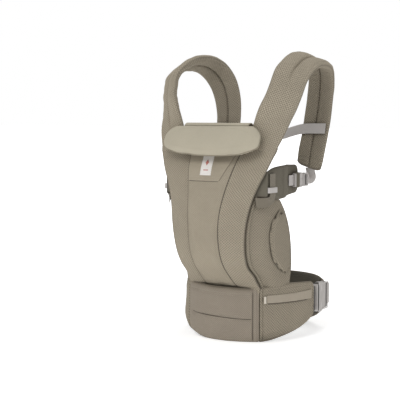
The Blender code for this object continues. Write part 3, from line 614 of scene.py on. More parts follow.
def build_stitches():
    profile = [(-1.0, 0.05), (-0.72, 0.8), (0.72, 0.8), (1.0, 0.05)]   # along, radius factor
    sides = 5
    for (key, finish, body), rows in stitches.items():
        points, faces = [], []
        for start, end, up, across, radius in rows:
            middle, half = (start + end) / 2, (end - start) / 2
            for i in range(len(start)):
                base = len(points)
                for along, size in profile:
                    sink = 0.25 * radius if abs(along) < 0.9 else -0.5 * radius
                    centre = middle[i] + half[i] * along + up[i] * sink
                    for j in range(sides):
                        angle = 2 * math.pi * j / sides
                        spoke = across[i] * math.cos(angle) * 1.15 + up[i] * math.sin(angle)
                        points.append(centre + spoke * radius * size)
                for ring in range(base, base + 3 * sides, sides):
                    for j in range(sides):
                        k = (j + 1) % sides
                        faces.append((ring + j, ring + k, ring + sides + k, ring + sides + j))
                faces.append(tuple(base + j for j in range(sides - 1, -1, -1)))
                faces.append(tuple(base + 3 * sides + j for j in range(sides)))
        obj = add_mesh("stitching_" + key, points, faces)
        face_outwards(obj)
        register(obj, finish, body)


def strip(name, points, across, face, width, thickness, finish, replaces, body="carrier",
          step=2.0):
    """Flat webbing through points, with width and face directions at each or for all."""
    points = np.asarray(points, float)
    across, face = (np.broadcast_to(np.asarray(v, float), points.shape) for v in (across, face))
    lengths = arc_length(points)
    count = max(4, int(lengths[-1] / step) + 1)
    at = np.linspace(0, lengths[-1], count)

    def smooth(values):
        return np.stack([curve(np.stack([lengths, values[:, k]], 1), at, 1)
                         for k in range(3)], 1)
    middle, across, face = smooth(points), unit(smooth(across)), smooth(face)
    face = unit(face - across * (face * across).sum(-1, keepdims=True)
                if False else face - across * (face * across).sum(-1, keepdims=True))
    s = spread(15, -1, 1, 0.7)
    grid = middle[:, None] + across[:, None] * (s * width / 2)[None, :, None]
    half = thickness / 2 * crown(s, 10, 0.3)[None, :] + 0.02
    sheet = Sheet(grid, half, half, face[:, None], along=np.linspace(0, 1, count), across=s)
    sheet.build(name, finish, replaces, body=body)
    return sheet


def superellipse(centre, wide, high, half_width, half_height, power=2.6, count=28):
    """Ring of points; a higher power is squarer."""
    t = np.linspace(0, 2 * math.pi, count, endpoint=False)
    x = np.sign(np.cos(t)) * np.abs(np.cos(t)) ** (2 / power)
    y = np.sign(np.sin(t)) * np.abs(np.sin(t)) ** (2 / power)
    return centre + x[:, None] * half_width * wide + y[:, None] * half_height * high


def lofted(name, rings):
    """Closed form through rings of equal length, capped."""
    count = len(rings[0])
    last = (len(rings) - 1) * count
    faces = []
    for base in range(0, last, count):
        for j in range(count):
            k = (j + 1) % count
            faces.append((base + j, base + k, base + count + k, base + count + j))
    faces.append(tuple(range(count))[::-1])
    faces.append(tuple(last + j for j in range(count)))
    obj = add_mesh(name, np.concatenate(rings), faces)
    face_outwards(obj)
    return obj


def apply_modifiers(obj):
    depsgraph = bpy.context.evaluated_depsgraph_get()
    mesh = bpy.data.meshes.new_from_object(obj.evaluated_get(depsgraph))
    obj.modifiers.clear()
    obj.data = mesh


def puff(obj, voxel, pressure, limit):
    """Inflate a closed form with the cloth solver, moving no point further than limit, and
    smooth the result."""
    frames = 20
    remesh = obj.modifiers.new("remesh", "REMESH")
    remesh.mode, remesh.voxel_size = "VOXEL", voxel * MM
    apply_modifiers(obj)
    scene = bpy.context.scene
    start = read_vertices(obj.data)
    cloth = obj.modifiers.new("cloth", "CLOTH")
    settings = cloth.settings
    settings.quality = 5
    settings.mass = 0.3
    settings.tension_stiffness = settings.compression_stiffness = 15.0
    settings.shear_stiffness = 5
    settings.bending_stiffness = 0.5
    settings.use_pressure = True
    settings.uniform_pressure_force = pressure
    settings.effector_weights.gravity = 0
    cloth.collision_settings.use_collision = False
    cloth.collision_settings.use_self_collision = False
    cloth.point_cache.frame_start, cloth.point_cache.frame_end = 1, frames
    for i in range(1, frames + 1):
        scene.frame_set(i)
    depsgraph = bpy.context.evaluated_depsgraph_get()
    move = read_vertices(obj.evaluated_get(depsgraph).data) - start
    distance = np.linalg.norm(move, axis=1, keepdims=True)
    move *= np.minimum(1.0, limit * MM / np.maximum(distance, 1e-9))
    obj.modifiers.clear()
    write_vertices(obj.data, start + move)
    scene.frame_set(1)
    smooth = obj.modifiers.new("smooth", "SMOOTH")
    smooth.factor, smooth.iterations = 0.5, 4
    subdivide = obj.modifiers.new("sub", "SUBSURF")
    subdivide.levels = subdivide.render_levels = 1
    apply_modifiers(obj)
    for polygon in obj.data.polygons:
        polygon.use_smooth = True
    return obj


class Skin:
    """Lookups on a finished piece, in mm of the design."""

    def __init__(self, obj):
        self.tree = BVHTree.FromPolygons([v.co.copy() for v in obj.data.vertices],
                                         [tuple(p.vertices) for p in obj.data.polygons])

    def hug(self, points, lift=0.0):
        """Nearest surface places, lifted off the skin, and their normals."""
        places, normals = [], []
        for point in points:
            place, normal, _, _ = self.tree.find_nearest(Vector(in_metres(point)))
            places.append(np.array(place) / MM - SHIFT + np.array(normal) * lift)
            normals.append(np.array(normal))
        return np.array(places), np.array(normals)

    def project(self, points, direction, lift):
        """Places and normals where rays from the points meet the skin; misses are left out."""
        places, normals = [], []
        for point in points:
            place, normal, _, _ = self.tree.ray_cast(Vector(in_metres(point)),
                                                     Vector(direction))
            if place is not None:
                places.append(np.array(place) / MM - SHIFT + np.array(normal) * lift)
                normals.append(np.array(normal))
        return np.array(places), np.array(normals)


# ------------------------------------------------------------------ waist belt
BELT_HALF_X, BELT_HALF_Y = 167.0, 175.0     # the outer face's ellipse
CENTRE_THICK, WING_THICK = 22.0, 18.0
# belt outlines: angle, z
BELT_TOP = np.array([
    (-322, 120), (-300, 122), (-250, 122), (-200, 126), (-180, 128), (-150, 129),
    (-126, 127.5), (-112, 126), (-98, 123.5), (-82, 123), (-61, 122.5), (-54, 125),
    (-46, 129), (-40, 131), (-26, 133), (-12, 131.5), (0, 129)], float)
BELT_BOTTOM = np.array([
    (-322, 46), (-312, 32), (-300, 18), (-288, 7), (-275, 0), (-255, 0), (-215, 6),
    (-185, 20), (-165, 24), (-145, 20), (-130, 12), (-115, 4.5), (-105, 1.5), (-91, 0),
    (-59, 0), (-46.5, 4), (-39.5, 9), (-25.4, 21), (-13.2, 34), (-2, 51)], float)


def ellipse(angle, inset=0.0):
    """Points at z = 0 and outward normals on the belt's ellipse, moved inwards by inset."""
    a = np.radians(np.asarray(angle, float))
    zero = np.zeros_like(a)
    points = np.stack([BELT_HALF_X * np.cos(a), BELT_HALF_Y * np.sin(a), zero], -1)
    normals = unit(np.stack([np.cos(a) / BELT_HALF_X, np.sin(a) / BELT_HALF_Y, zero], -1))
    return points - normals * inset, normals


class BeltSection:
    """A padded section from angle start to end: an outer half and an inner half.

    upright_seams are (angle, width, depth), with the width in degrees; level_seams are
    (angles, heights, width, depth).
    """

    def __init__(self, name, start, end, thick, columns, finishes, upright_seams, level_seams):
        self.angles = angles = spread(columns, start, end, 0.35)
        s = spread(41, -1, 1, 0.8)
        low, high = np.maximum(0.0, curve(BELT_BOTTOM, angles, 1)), curve(BELT_TOP, angles, 1)
        self.middle, self.half = (low + high) / 2, (high - low) / 2
        centre, normals = ellipse(angles, thick / 2)
        grid = np.repeat(centre[:, None], len(s), 1)
        z = grid[..., 2] = (low + high)[:, None] / 2 + (high - low)[:, None] / 2 * s[None, :]
        from_end = np.minimum((angles - start) / 1.6, (end - angles) / 1.6).clip(0, 1)
        rounded = (1 - (1 - from_end) ** 3) ** 0.5
        half_thick = ((thick / 2 - 0.6) * crown(s, 7, 0.42)[None, :]
                      * (0.45 + 0.55 * rounded[:, None]) + 0.5)
        relief = np.zeros_like(z)
        for angle, width, depth in upright_seams:
            relief += groove(angles[:, None], angle, width, depth) * (np.abs(s) < 0.985)[None]
        for places, heights, width, depth in level_seams:
            inside = (1 / (1 + np.exp(-(angles - places[0]) / 0.5))
                      / (1 + np.exp((angles - places[-1]) / 0.5)))
            seam_z = np.interp(angles, places, heights)[:, None]
            relief += groove(z, seam_z, width, depth) * inside[:, None]
        fullness = crown(s, 4, 1)[None, :]
        waves = 0.7 * np.sin(np.radians(angles * 9))[:, None] * np.cos(s * 2.2)[None, :]
        # the long wing bulges low down near the centre
        bulge = 4.5 * hill(angles[:, None], -152, 22) * hill(z, 34, 34)
        out = half_thick + relief + waves * fullness * 0.6 + bulge * fullness
        where = dict(facing=normals[columns // 2], place=(columns // 2, 20),
                     along=angles, across=s)
        self.outer = Sheet(grid, out, 0.15, **where)
        self.outer.build(f"{name}_cover", finishes[0], (f"{name}_cover", f"{name}_foam"),
                         ruffled=(0.5, 26, (1, 1, 1.6), 3.0))
        self.inner = Sheet(grid, -0.1, half_thick, **where)
        self.inner.build(f"{name}_lining", finishes[1], ruffled=(0.4, 22, (1, 1, 1.4), 9.0))

    def across(self, angle, z):
        """Across parameter (-1 to 1) of a height."""
        return ((z - np.interp(angle, self.angles, self.middle))
                / np.interp(angle, self.angles, self.half))


belt_centre = BeltSection(
    "belt_centre", -126.0, -54.0, CENTRE_THICK, 150, ("belt_mesh", "shaded_mesh"),
    [(-59.2, 0.75, 2.8), (-55.6, 0.55, 1.6)],
    [([-120, -100, -80, -60], [58, 56.5, 55, 53.5], 2.4, 3.4),
     ([-123, -100, -80, -58], [113, 111, 109.5, 109], 1.8, 1.8)])
belt_short = BeltSection(
    "belt_wing_short", -53.9, -2.5, WING_THICK, 130, ("shaded_mesh", "lining"),
    [(-51.2, 0.7, 2.0), (-5.2, 0.6, 1.3)],
    [([-50, -40, -26, -12, -4], [119, 123, 125, 124, 122.5], 1.6, 1.4)])
belt_long = BeltSection(
    "belt_wing_long", -322.0, -126.1, WING_THICK, 370, ("shaded_mesh", "lining"),
    [(-128.2, 0.5, 1.2), (-318.5, 0.6, 1.1)],
    [([-316, -250, -200, -150, -130], [112, 113, 117, 120, 118.5], 1.6, 1.3)])


def top_and_bottom_bindings(sheet, count, finish, *bindings):
    """Flattened tapes along the long edges; bindings are (name, across, radius)."""
    for name, across, radius in bindings:
        edge_binding(name, sheet, np.linspace(0, 1, count), across, radius, finish, flat=1.25)


for tag, section in (("centre", belt_centre), ("short", belt_short), ("long", belt_long)):
    top_and_bottom_bindings(section.outer, 160, "binding",
                            (f"belt_{tag}_top_binding", 0.998, 1.7),
                            (f"belt_{tag}_bottom_binding", 0.002, 1.5))
END_LINE = np.linspace(0.03, 0.97, 40)      # grid places up a section's end
edge_binding("belt_short_end_binding", belt_short.outer, 0.998, END_LINE, 2.2)
edge_binding("belt_long_end_binding", belt_long.outer, 0.002, END_LINE, 2.2)

# double rows either side of the centre's level seams: z from, z to, angle from, angle to
for z0, z1, start, end in ((59.2, 55.7, -114, -60), (54.8, 51.4, -114, -60),
                           (115.2, 111.2, -122, -60), (110.8, 106.8, -122, -60)):
    angles = np.linspace(start, end, 90)
    sew("belt", belt_centre.outer, angles,
        belt_centre.across(angles, np.linspace(z0, z1, 90)))
FULL_HEIGHT = (-0.95, 0.95)
for angle in (-61.0, -57.4, -54.6):
    sew("belt", belt_centre.outer, angle, FULL_HEIGHT)
for angle in (-52.6, -50.6, -6.4, -4.2):
    sew("belt", belt_short.outer, angle, FULL_HEIGHT)
for section, span, count in ((belt_short, (-50, -7), 120), (belt_long, (-316, -140), 300)):
    for across in (0.80, 0.90, -0.90):
        sew("belt", section.outer, span, across, count)
for angle in (-317.2, -319.8):
    sew("belt", belt_long.outer, angle, FULL_HEIGHT)
sew("belt", belt_centre.outer, (-122, -58), -0.90, 120)
for section, span, count in ((belt_short, (-51, -6), 120), (belt_long, (-318, -130), 340),
                             (belt_centre, (-122, -57), 120)):
    for across in (0.86, -0.86):
        sew("belt_in", section.inner, span, across, count, back=True, finish="thread_dark")


def belt_cord(name, section, angles, heights, count, lift):
    """Cord on a section's outer face through evenly spaced angles and heights."""
    t = np.linspace(0, 1, count)
    knots = np.linspace(0, 1, len(angles))
    angle, z = np.interp(t, knots, angles), np.interp(t, knots, heights)
    tube(name, section.outer.line(angle, section.across(angle, z), lift)[0], 0.9, "piping")


belt_cord("belt_front_seam_cord", belt_centre, (-119.5, -100, -80, -60), (58, 56.5, 55, 53.5),
          120, lift=0.1)
belt_cord("belt_left_seam_cord", belt_long, (-126.05, -126.05), (118, 16), 60, lift=-0.6)
belt_cord("belt_right_seam_cord", belt_centre, (-59.2, -59.2), (116, 4), 60, lift=0.1)

# ------------------------------------------------------------------ pocket on the short wing
POCKET_START, POCKET_END = -48.5, -7.0      # belt angles


def build_pocket():
    """A flap band under the wing's top, with the zip's line below it."""
    angles = spread(70, POCKET_START, POCKET_END, 0.5)
    s = spread(17, -1, 1, 0.75)
    centre, normals = ellipse(angles)
    run = (angles - POCKET_START) / 38
    middle_z = 100 + run * 4
    half_height = 9 + run * 1.2
    grid = np.repeat(centre[:, None], len(s), 1)
    grid[..., 2] = middle_z[:, None] + half_height[:, None] * s[None, :]
    from_end = np.minimum(angles - POCKET_START, POCKET_END - angles)
    lift = 1.0 + 1.1 * crown(s, 6, 0.5)[None, :] * np.minimum(1, from_end / 0.6 + 0.15)[:, None]
    flap = Sheet(grid, lift, -0.1, normals[30], (30, 8), angles, s)
    flap.build("pocket_flap_band", "flap", ("pocket_flap",), (0.35, 14, (1, 1, 2), 2.0))
    for across in (0.82, -0.82):
        sew("pocket", flap, (-47.6, -8.0), across, 90)
    for angle in (-47.9, -14.2, -8.0, -11.4):
        sew("pocket", flap, angle, (-0.85, 0.85))
    zip_angles = np.linspace(-47.5, -12.5, 110)
    zip_line, _ = ellipse(zip_angles, -0.9)
    zip_line[:, 2] = np.interp(zip_angles, angles, middle_z - half_height) - 1.1
    tube("pocket_zip_tape", zip_line, 1.0, "piping", step=2.0, flat=1.3)


build_pocket()

# ------------------------------------------------------------------ lumbar cushion
LUMBAR_ANGLE, LUMBAR_HALF_ANGLE = -90, 26
LUMBAR_Z = 62


def build_lumbar():
    """Cushion on the inside of the belt's centre, with an oval of stitches."""
    rings = []
    for angle in np.linspace(LUMBAR_ANGLE - LUMBAR_HALF_ANGLE,
                             LUMBAR_ANGLE + LUMBAR_HALF_ANGLE, 25):
        inward = 1 - abs(angle - LUMBAR_ANGLE) / LUMBAR_HALF_ANGLE
        thick = 3.0 + 6.0 * min(1.0, inward * 2.4) ** 0.6
        half_height = ((32 + 14 * min(1.0, inward * 3) ** 0.5)
                       * (0.3 + 0.7 * min(1, inward * 8 + 0.1) ** 0.5))
        centre, normal = ellipse(angle, CENTRE_THICK + 0.8 + thick / 2)
        rings.append(superellipse(centre + Z_AXIS * LUMBAR_Z, Z_AXIS, normal, half_height,
                                  thick / 2 * 0.9))
    cushion = puff(lofted("lumbar_pad", rings), voxel=4.5, pressure=3.0, limit=3.0)
    register(cushion, "pad_mesh", replaces=("lumbar_cushion",))
    oval = [ellipse(LUMBAR_ANGLE + 22.5 * math.cos(t), CENTRE_THICK + 12)[0]
            + Z_AXIS * (LUMBAR_Z + 36 * math.sin(t)) for t in np.linspace(0, 2 * math.pi, 80)]
    stitch("lumbar", *Skin(cushion).hug(oval, 0.1), finish="thread_dark")


build_lumbar()

# ------------------------------------------------------------------ front panel
# z, y on the centre line, x of the seam, x and y of the edge
PANEL = np.array([
    (126, -146, 43, 97, -139), (140, -165, 42, 94, -148), (155, -182, 41, 92, -158),
    (178, -203, 40, 90, -182), (205, -219, 40, 92, -196), (240, -227, 40, 95, -204),
    (275, -229, 41, 99, -205), (310, -225, 44, 105, -200), (345, -216, 49, 115, -193),
    (373, -207, 55, 127, -187), (398, -197, 61, 139, -181), (425, -181, 67, 150, -173),
    (442, -173, 75, 157, -167), (470, -161, 88, 160, -156), (496, -152, 98, 160, -146)], float)


def seam_x(z):
    return curve(PANEL, z, 2)


def edge_x(z):
    return curve(PANEL, z, 3)


def edge_y(z):
    return curve(PANEL, z, 4)


def panel_points(x, z):
    centre_y = curve(PANEL, z, 1)
    y = centre_y + (edge_y(z) - centre_y) * (np.abs(x) / edge_x(z)) ** 2.3
    return np.stack([x, y, z], -1)


def panel_sheet(name, heights, span, out, inn, finish, replaces, ruffled=None, columns=37):
    """Layer over the panel's surface. span(z) gives its left and right x; out and inn are
    numbers, or functions of z, across parameter and x."""
    s = spread(columns, -1, 1, 0.8)
    left, right = span(heights)
    x = (left + right)[:, None] / 2 + (right - left)[:, None] / 2 * s[None, :]
    z = np.repeat(heights[:, None], columns, 1)
    out, inn = (v(z, s[None, :], x) if callable(v) else v for v in (out, inn))
    sheet = Sheet(panel_points(x, z), out, inn, FRONT, (len(heights) // 2, columns // 2),
                  heights, s)
    sheet.build(name, finish, replaces, ruffled)
    return sheet


def end_rise(z, low, high, width):
    """0 at the low and high ends, 1 from width inside them."""
    return np.minimum(1.0, np.minimum(z - low, high - z).clip(0) / width) ** 0.5


def panel_heights(skirt_top, skirt_count, low, high, count, edge):
    """Rows of the skirt that goes down behind the belt, then of the panel above it."""
    return np.concatenate([np.linspace(113, skirt_top, skirt_count),
                           spread(count, low, high, edge)])


def build_panel_centre():
    def span(gap):
        return lambda z: (-seam_x(z) + gap, seam_x(z) - gap)

    def face_out(z, s, x):
        return (2.3 + 1.6 * crown(s, 8, 0.5) - 2.0 * (1 - end_rise(z, 127, 494, 5))
                + groove(np.abs(x), seam_x(z) - 5.2, 1.0, 0.9))

    def backing_in(z, s, x):
        return 3.5 + 4.4 * crown(s, 6, 0.5) * end_rise(z, 127, 494, 8)

    face = panel_sheet("panel_centre_face", panel_heights(126, 6, 127.0, 494.0, 150, 0.4),
                       span(0.6), face_out, 0.4, "panel_mesh",
                       ("panel_centre_cover", "panel_centre_pad"), (0.55, 34, (1, 1, 0.6), 1.0))
    panel_sheet("panel_centre_backing", panel_heights(126, 5, 127.0, 494.0, 90, 0.4),
                span(1.0), -0.8, backing_in, "lining", ("panel_centre_lining",),
                (0.4, 30, (1, 1, 1), 4.0))
    for side in (-1, 1):
        for across in (0.90, 0.80):
            sew("panel", face, (131, 488), side * across, 200)
    return face


def build_panel_side(side, tag, centre):
    """Side panel from the seam to the edge, with piping in the seam and a bound edge."""
    def span(z):
        near, far = seam_x(z) + 0.4, edge_x(z)
        return (near, far) if side > 0 else (-far, -near)

    def face_out(z, s, x):
        return (2.2 + 2.0 * crown(s, 6, 0.5) - 1.6 * (1 - end_rise(z, 128, 460, 5))
                + groove(np.abs(x), seam_x(z) + 4.6, 1.0, 0.8)
                + groove(np.abs(x), edge_x(z) - 6.0, 1.2, 0.9))

    def backing_in(z, s, x):
        return 1.2 + 3.3 * crown(s, 6, 0.5)

    name = f"side_panel_{tag}"
    face = panel_sheet(f"{name}_face", panel_heights(127, 6, 128.0, 450.0, 140, 0.35), span,
                       face_out, 0.3, "mesh", (f"{name}_cover",),
                       (0.5, 30, (1, 1, 0.7), 5.0 + side))
    panel_sheet(f"{name}_backing", panel_heights(127, 5, 128.5, 444.0, 80, 0.35), span,
                -0.5, backing_in, "lining", (f"{name}_lining",),
                (0.4, 30, (1, 1, 1), 8.0 + side))
    for across in (-0.86, 0.84):
        sew("panel", face, (133, 446), side * across, 190)
    z = np.linspace(128.5, 470, 150)
    _, normals = centre.line(np.clip(z, 128, 490), side * 0.99)
    # the right seam's piping is dark and the left one khaki: the dark colour on the right paints
    # the shade in that seam's groove
    tube(f"panel_seam_piping_{tag}", panel_points(side * seam_x(z), z) + normals * 2.5, 1.25,
         "piping" if side > 0 else "cord")
    z = np.linspace(129, 449, 150)
    outside, _ = face.line(z, side * 0.995)
    inside, _ = face.line(z, side * 0.995, back=True)
    tube(f"panel_edge_binding_{tag}", outside * 0.55 + inside * 0.45, 2.3, "binding",
         sides=10, flat=0.8)


def build_top_pocket():
    def span(z):
        slant = 20.0 * (1 - (z - 370) / 82)     # the right side leans inwards towards the foot
        return -seam_x(z) + 2.5, seam_x(z) - 2.5 - slant

    def face_out(z, s, x):
        return 4.6 + 1.0 * crown(s, 8, 0.5) - 0.9 * (1 - end_rise(z, 370, 460, 2.2))

    pocket = panel_sheet("top_pocket_face", spread(50, 370.0, 452.0, 0.6), span, face_out, -2.6,
                         "fabric", ("top_pocket",), (0.5, 26, (1, 1, 1), 12.0), columns=29)
    for z in (373.0, 379.5):
        sew("panel", pocket, z, FULL_HEIGHT)
    for side in (-1, 1):
        sew("panel", pocket, (373, 450), side * 0.94)
    # the dark cord under the pocket's bottom edge is partly a real cord and partly painted
    # shadow under its hem; the side cord is khaki
    tube("top_pocket_bottom_shadow_cord", pocket.line(370.4, (-0.99, 0.99), -0.6)[0], 0.9, "piping")
    tube("top_pocket_side_cord", pocket.line((370.4, 451), 0.99, -0.4)[0], 0.8, "cord")


def label_mark(name, label, z, outline):
    """Small raised woven mark; outline is (across parameter, height from z)."""
    across, rise = np.array(outline, float).T
    top, _ = label.line(z + rise, across, 0.40)
    low, _ = label.line(z + rise, across, -0.15)
    n = len(outline)
    faces = [tuple(range(n)), tuple(range(2 * n - 1, n - 1, -1))]
    faces += [(i, i + n, (i + 1) % n + n, (i + 1) % n) for i in range(n)]
    uvs = [(0.01 * (i % 7), 0.003 * i) for i in range(6 * n)]
    obj = add_mesh(name, np.concatenate([top, low]), faces, uvs, smooth=False)
    face_outwards(obj)
    register(obj, "mark")


def build_label():
    def span(z):
        lean = (z - 405) * 0.11
        return -24.0 - lean, 5.5 - lean

    label = panel_sheet("label_tab", spread(24, 383.0, 427.0, 0.5), span,
                        lambda z, s, x: 6.1 + 0.3 * crown(s, 8, 0.5), -5.0, "label",
                        ("label_patch",), columns=29)
    for along, across in (((385, 425), -0.88), ((385, 425), 0.88),
                          (385.5, (-0.9, 0.9)), (424.5, (-0.9, 0.9))):
        sew("label", label, along, across, lift=0.03, spacing=2.6, length=1.8, radius=0.2,
            finish="thread_pale")
    label_mark("label_mark_diamond", label, 410.0, [(-0.30, 0), (0, -6.5), (0.30, 0), (0, 6.5)])
    label_mark("label_mark_bar", label, 394.0,
               [(-0.42, -0.9), (0.42, -0.9), (0.42, 0.9), (-0.42, 0.9)])


panel_face = build_panel_centre()
for side, tag in SIDES[::-1]:
    build_panel_side(side, tag, panel_face)
hem_x = np.linspace(-97, 97, 90)
tube("panel_top_binding", panel_points(hem_x, np.full_like(hem_x, 495.0)) + 2.0 * Y_AXIS,
     3.2, "binding", sides=10, flat=0.7)
build_top_pocket()
build_label()

# ------------------------------------------------------------------ shoulder straps
# stations from the front start, over the shoulder, to the rear foot:
# x, y, z, angle of the width direction from x, width, thickness, bank angle
STRAP = np.array([
    (117.5, -171, 438, 1, 77, 8, 0), (122, -168, 458, 3, 77, 10, 0),
    (134, -162, 490, 13, 78, 14, 0), (144, -153, 523, 30, 78, 18, 0),
    (153, -143, 549, 36, 78, 19, 2), (160, -134, 576, 34, 78, 19, 5),
    (164, -117, 610, 30, 78, 19, 11), (164, -88, 631, 24, 78, 19, 17),
    (162, -54, 645, 14, 78, 19, 21), (160, -20, 649, 8, 78, 19, 22),
    (157, 12, 646, 4, 77, 19, 20), (152, 38, 635, 1, 76, 18, 17),
    (146, 56, 615, 0, 74, 17, 12), (140, 66, 590, 3, 72, 17, 8),
    (134, 70, 555, 4, 70, 16, 4), (129, 69, 515, 4, 70, 16, 0),
    (126, 62, 475, 3, 70, 16, 0), (123, 52, 436, 2, 70, 15, 0),
    (121, 44, 398, 0, 66, 12, 0)], float)
# the left strap's differences, by station: how far further in, added angle
STRAP_LEFT = {11: (0, -3), 12: (2, -6), 13: (4, -9), 14: (5, -10), 15: (3, -5)}
STRAP_END = len(STRAP) - 1


def strap_frames(side, count):
    """Stations, centre line, width and face directions, width and thickness."""
    stations = np.arange(len(STRAP), dtype=float)
    table = np.column_stack([stations, STRAP])
    if side < 0:
        for i, (shift, turn) in STRAP_LEFT.items():
            table[i, 1] -= shift
            table[i, 4] += turn
    t = np.linspace(0, STRAP_END, count)
    x, y, z, angle, width, thick = (curve(table, t, c) for c in range(1, 7))
    centre = np.stack([x, y, z], 1)
    angle = np.radians(angle)
    ahead = unit(np.gradient(centre, axis=0))
    ahead[0] = (0, 0, 1)
    level = np.stack([np.cos(angle), np.sin(angle), np.zeros_like(angle)], 1)
    across = unit(level - ahead * (level * ahead).sum(1, keepdims=True))
    face = unit(np.cross(across, ahead))
    bank = np.radians(np.interp(t, stations, STRAP[:, 6]))[:, None]
    across = unit(across * np.cos(bank) - face * np.sin(bank))
    face = unit(np.cross(across, ahead))
    return t, mirror(side, centre), mirror(side, across), mirror(side, face), width, thick


def build_strap(side, tag):
    count = 300
    stations, centre, across, face, width, thick = strap_frames(side, count)
    t = stations[:, None]
    s = spread(61, -1, 1, 0.75)
    half_width = (width / 2 - 1.2)[:, None]
    offset = half_width * s[None, :]
    grid = centre[:, None] + across[:, None] * offset[..., None]
    # the foot is cut on a slant, lower on the +s side, with both corners lifted
    grid[..., 2] -= 0.24 * offset * np.clip((t - 16.2) / 1.8, 0, 1) ** 2
    grid[..., 2] += 9.0 * (np.abs(s) ** 7)[None, :] * np.clip((t - 17.2) / 0.8, 0, 1) ** 3
    # the padding is one flat channel at the start and two fat channels further along
    two = 1 / (1 + np.exp(-(t - (6.0 if side > 0 else 2.2)) / 0.38))
    one_channel = crown(s, 5, 0.42)[None, :]
    two_channels = ((0.30 + 0.70 * crown((np.abs(s) - 0.5) / 0.5, 2.6, 0.55)[None, :])
                    * np.where(np.abs(s) > 0.97, 0.6, 1)[None, :])
    end_taper = np.minimum(1, np.minimum(t, STRAP_END - t) / 0.35).clip(0) ** 0.5
    profile = (one_channel * (1 - two) + two_channels * two) * (0.35 + 0.65 * end_taper)
    half_thick = (thick / 2 - 0.5)[:, None] * profile + 0.4
    crease = groove(offset, 0.0, 1.6, 1.0) * two
    wrinkle = 0.55 * np.sin(t * 9.0 + s[None, :] * 2.0) * two * (np.abs(s)[None, :] < 0.95)
    hem = groove(t, STRAP_END - 0.55, 0.035, 1.3) + groove(t, STRAP_END - 0.25, 0.03, 0.9)
    edge = groove(np.abs(s)[None, :] * half_width, half_width - 6.0, 1.2, 0.9)
    out = np.maximum(half_thick + crease * 2.4 + edge + hem + wrinkle * 0.5, 0.5)
    inn = np.maximum(half_thick + crease * 1.8 + hem + wrinkle * 0.6, 0.5)
    where = dict(facing=face[count // 2], place=(count // 2, 30), along=stations, across=s)
    name = f"shoulder_strap_{tag}"
    outer = Sheet(grid, out, 0.15, **where)
    outer.build(f"{name}_face", "mesh", (f"{name}_cover", f"{name}_foam"),
                (0.55, 24, (1, 1, 1), 20.0 + side))
    inner = Sheet(grid, -0.1, inn, **where)
    inner.build(f"{name}_inner", "shaded_mesh", ruffled=(0.5, 22, (1, 1, 1), 30.0 + side))
    for place, edge_name in ((0.001, "near"), (0.999, "far")):
        edge_binding(f"strap_{tag}_{edge_name}_piping", outer, np.linspace(0, 1, 260), place,
                     1.25, "cord", inner=inner)
    for place in (-0.80, 0.80):
        sew("strap", outer, (0.5, 17.8), place, 400)
    for place in (0.06, -0.06):
        sew("strap_in", inner, (7.0, 17.2), place, 300, back=True)
    for station in (0.28, 0.42, 16.52, 16.72, 17.6):
        sew("strap", outer, station, (-0.93, 0.93))
        sew("strap_in", inner, station, (-0.93, 0.93), back=True)
    for place, end_name, radius in ((0.0, "start", 2.0), (1.0, "foot", 3.0)):
        edge_binding(f"strap_{tag}_{end_name}_binding", outer, place,
                     np.linspace(0.02, 0.98, 50), radius, inner=inner)


for side, tag in SIDES:
    build_strap(side, tag)

# ------------------------------------------------------------------ head pillow
# sections from top to bottom: y, z, half width, half thickness
PILLOW = np.array([
    (-176.2, 497.5, 110.0, 3.6), (-185.0, 489.5, 126.0, 10.0), (-193.0, 474.5, 138.0, 14.0),
    (-199.5, 457.5, 141.0, 14.5), (-205.0, 440.5, 133.0, 12.0), (-209.0, 425.0, 98.0, 4.0)])
# share of the size that is lofted, before inflating
PILLOW_WIDTH_SHARE, PILLOW_THICK_SHARE = 0.95, 0.86
PILLOW_MIDDLE = np.array((0.0, -195.0, 463.0))


def loft_pillow():
    table = np.column_stack([np.arange(6.0), PILLOW])
    t = np.linspace(0, 5, 33)
    centre = np.stack([np.zeros_like(t), curve(table, t, 1), curve(table, t, 2)], 1)
    half_width = curve(table, t, 3) * PILLOW_WIDTH_SHARE
    half_thick = curve(table, t, 4) * PILLOW_THICK_SHARE
    ahead = unit(np.gradient(centre, axis=0))
    normal = unit(np.stack([np.zeros(len(t)), -ahead[:, 2], ahead[:, 1]], 1))
    normal[normal[:, 1] > 0] *= -1
    s = np.linspace(-1, 1, 41)
    rings = []
    for i in range(len(t)):
        middle = np.stack([s * half_width[i], centre[i, 1] + 3.15 * np.abs(s) ** 2.2,
                           centre[i, 2] + 6 * s**2 * t[i] / 5], 1)
        thick = half_thick[i] * (0.16 + 0.84 * (1 - np.abs(s) ** 3.2).clip(0) ** 0.5)
        offset = normal[i] * thick[:, None]
        rings.append(np.concatenate([middle + offset, (middle - offset)[::-1]]))
    return lofted("head_pillow_pad", rings)


def pillow_oval(angles, half_width, half_height):
    return [PILLOW_MIDDLE + X_AXIS * math.cos(a) * half_width
            + np.array((0, 0.55, 0.84)) * math.sin(a) * half_height for a in angles]


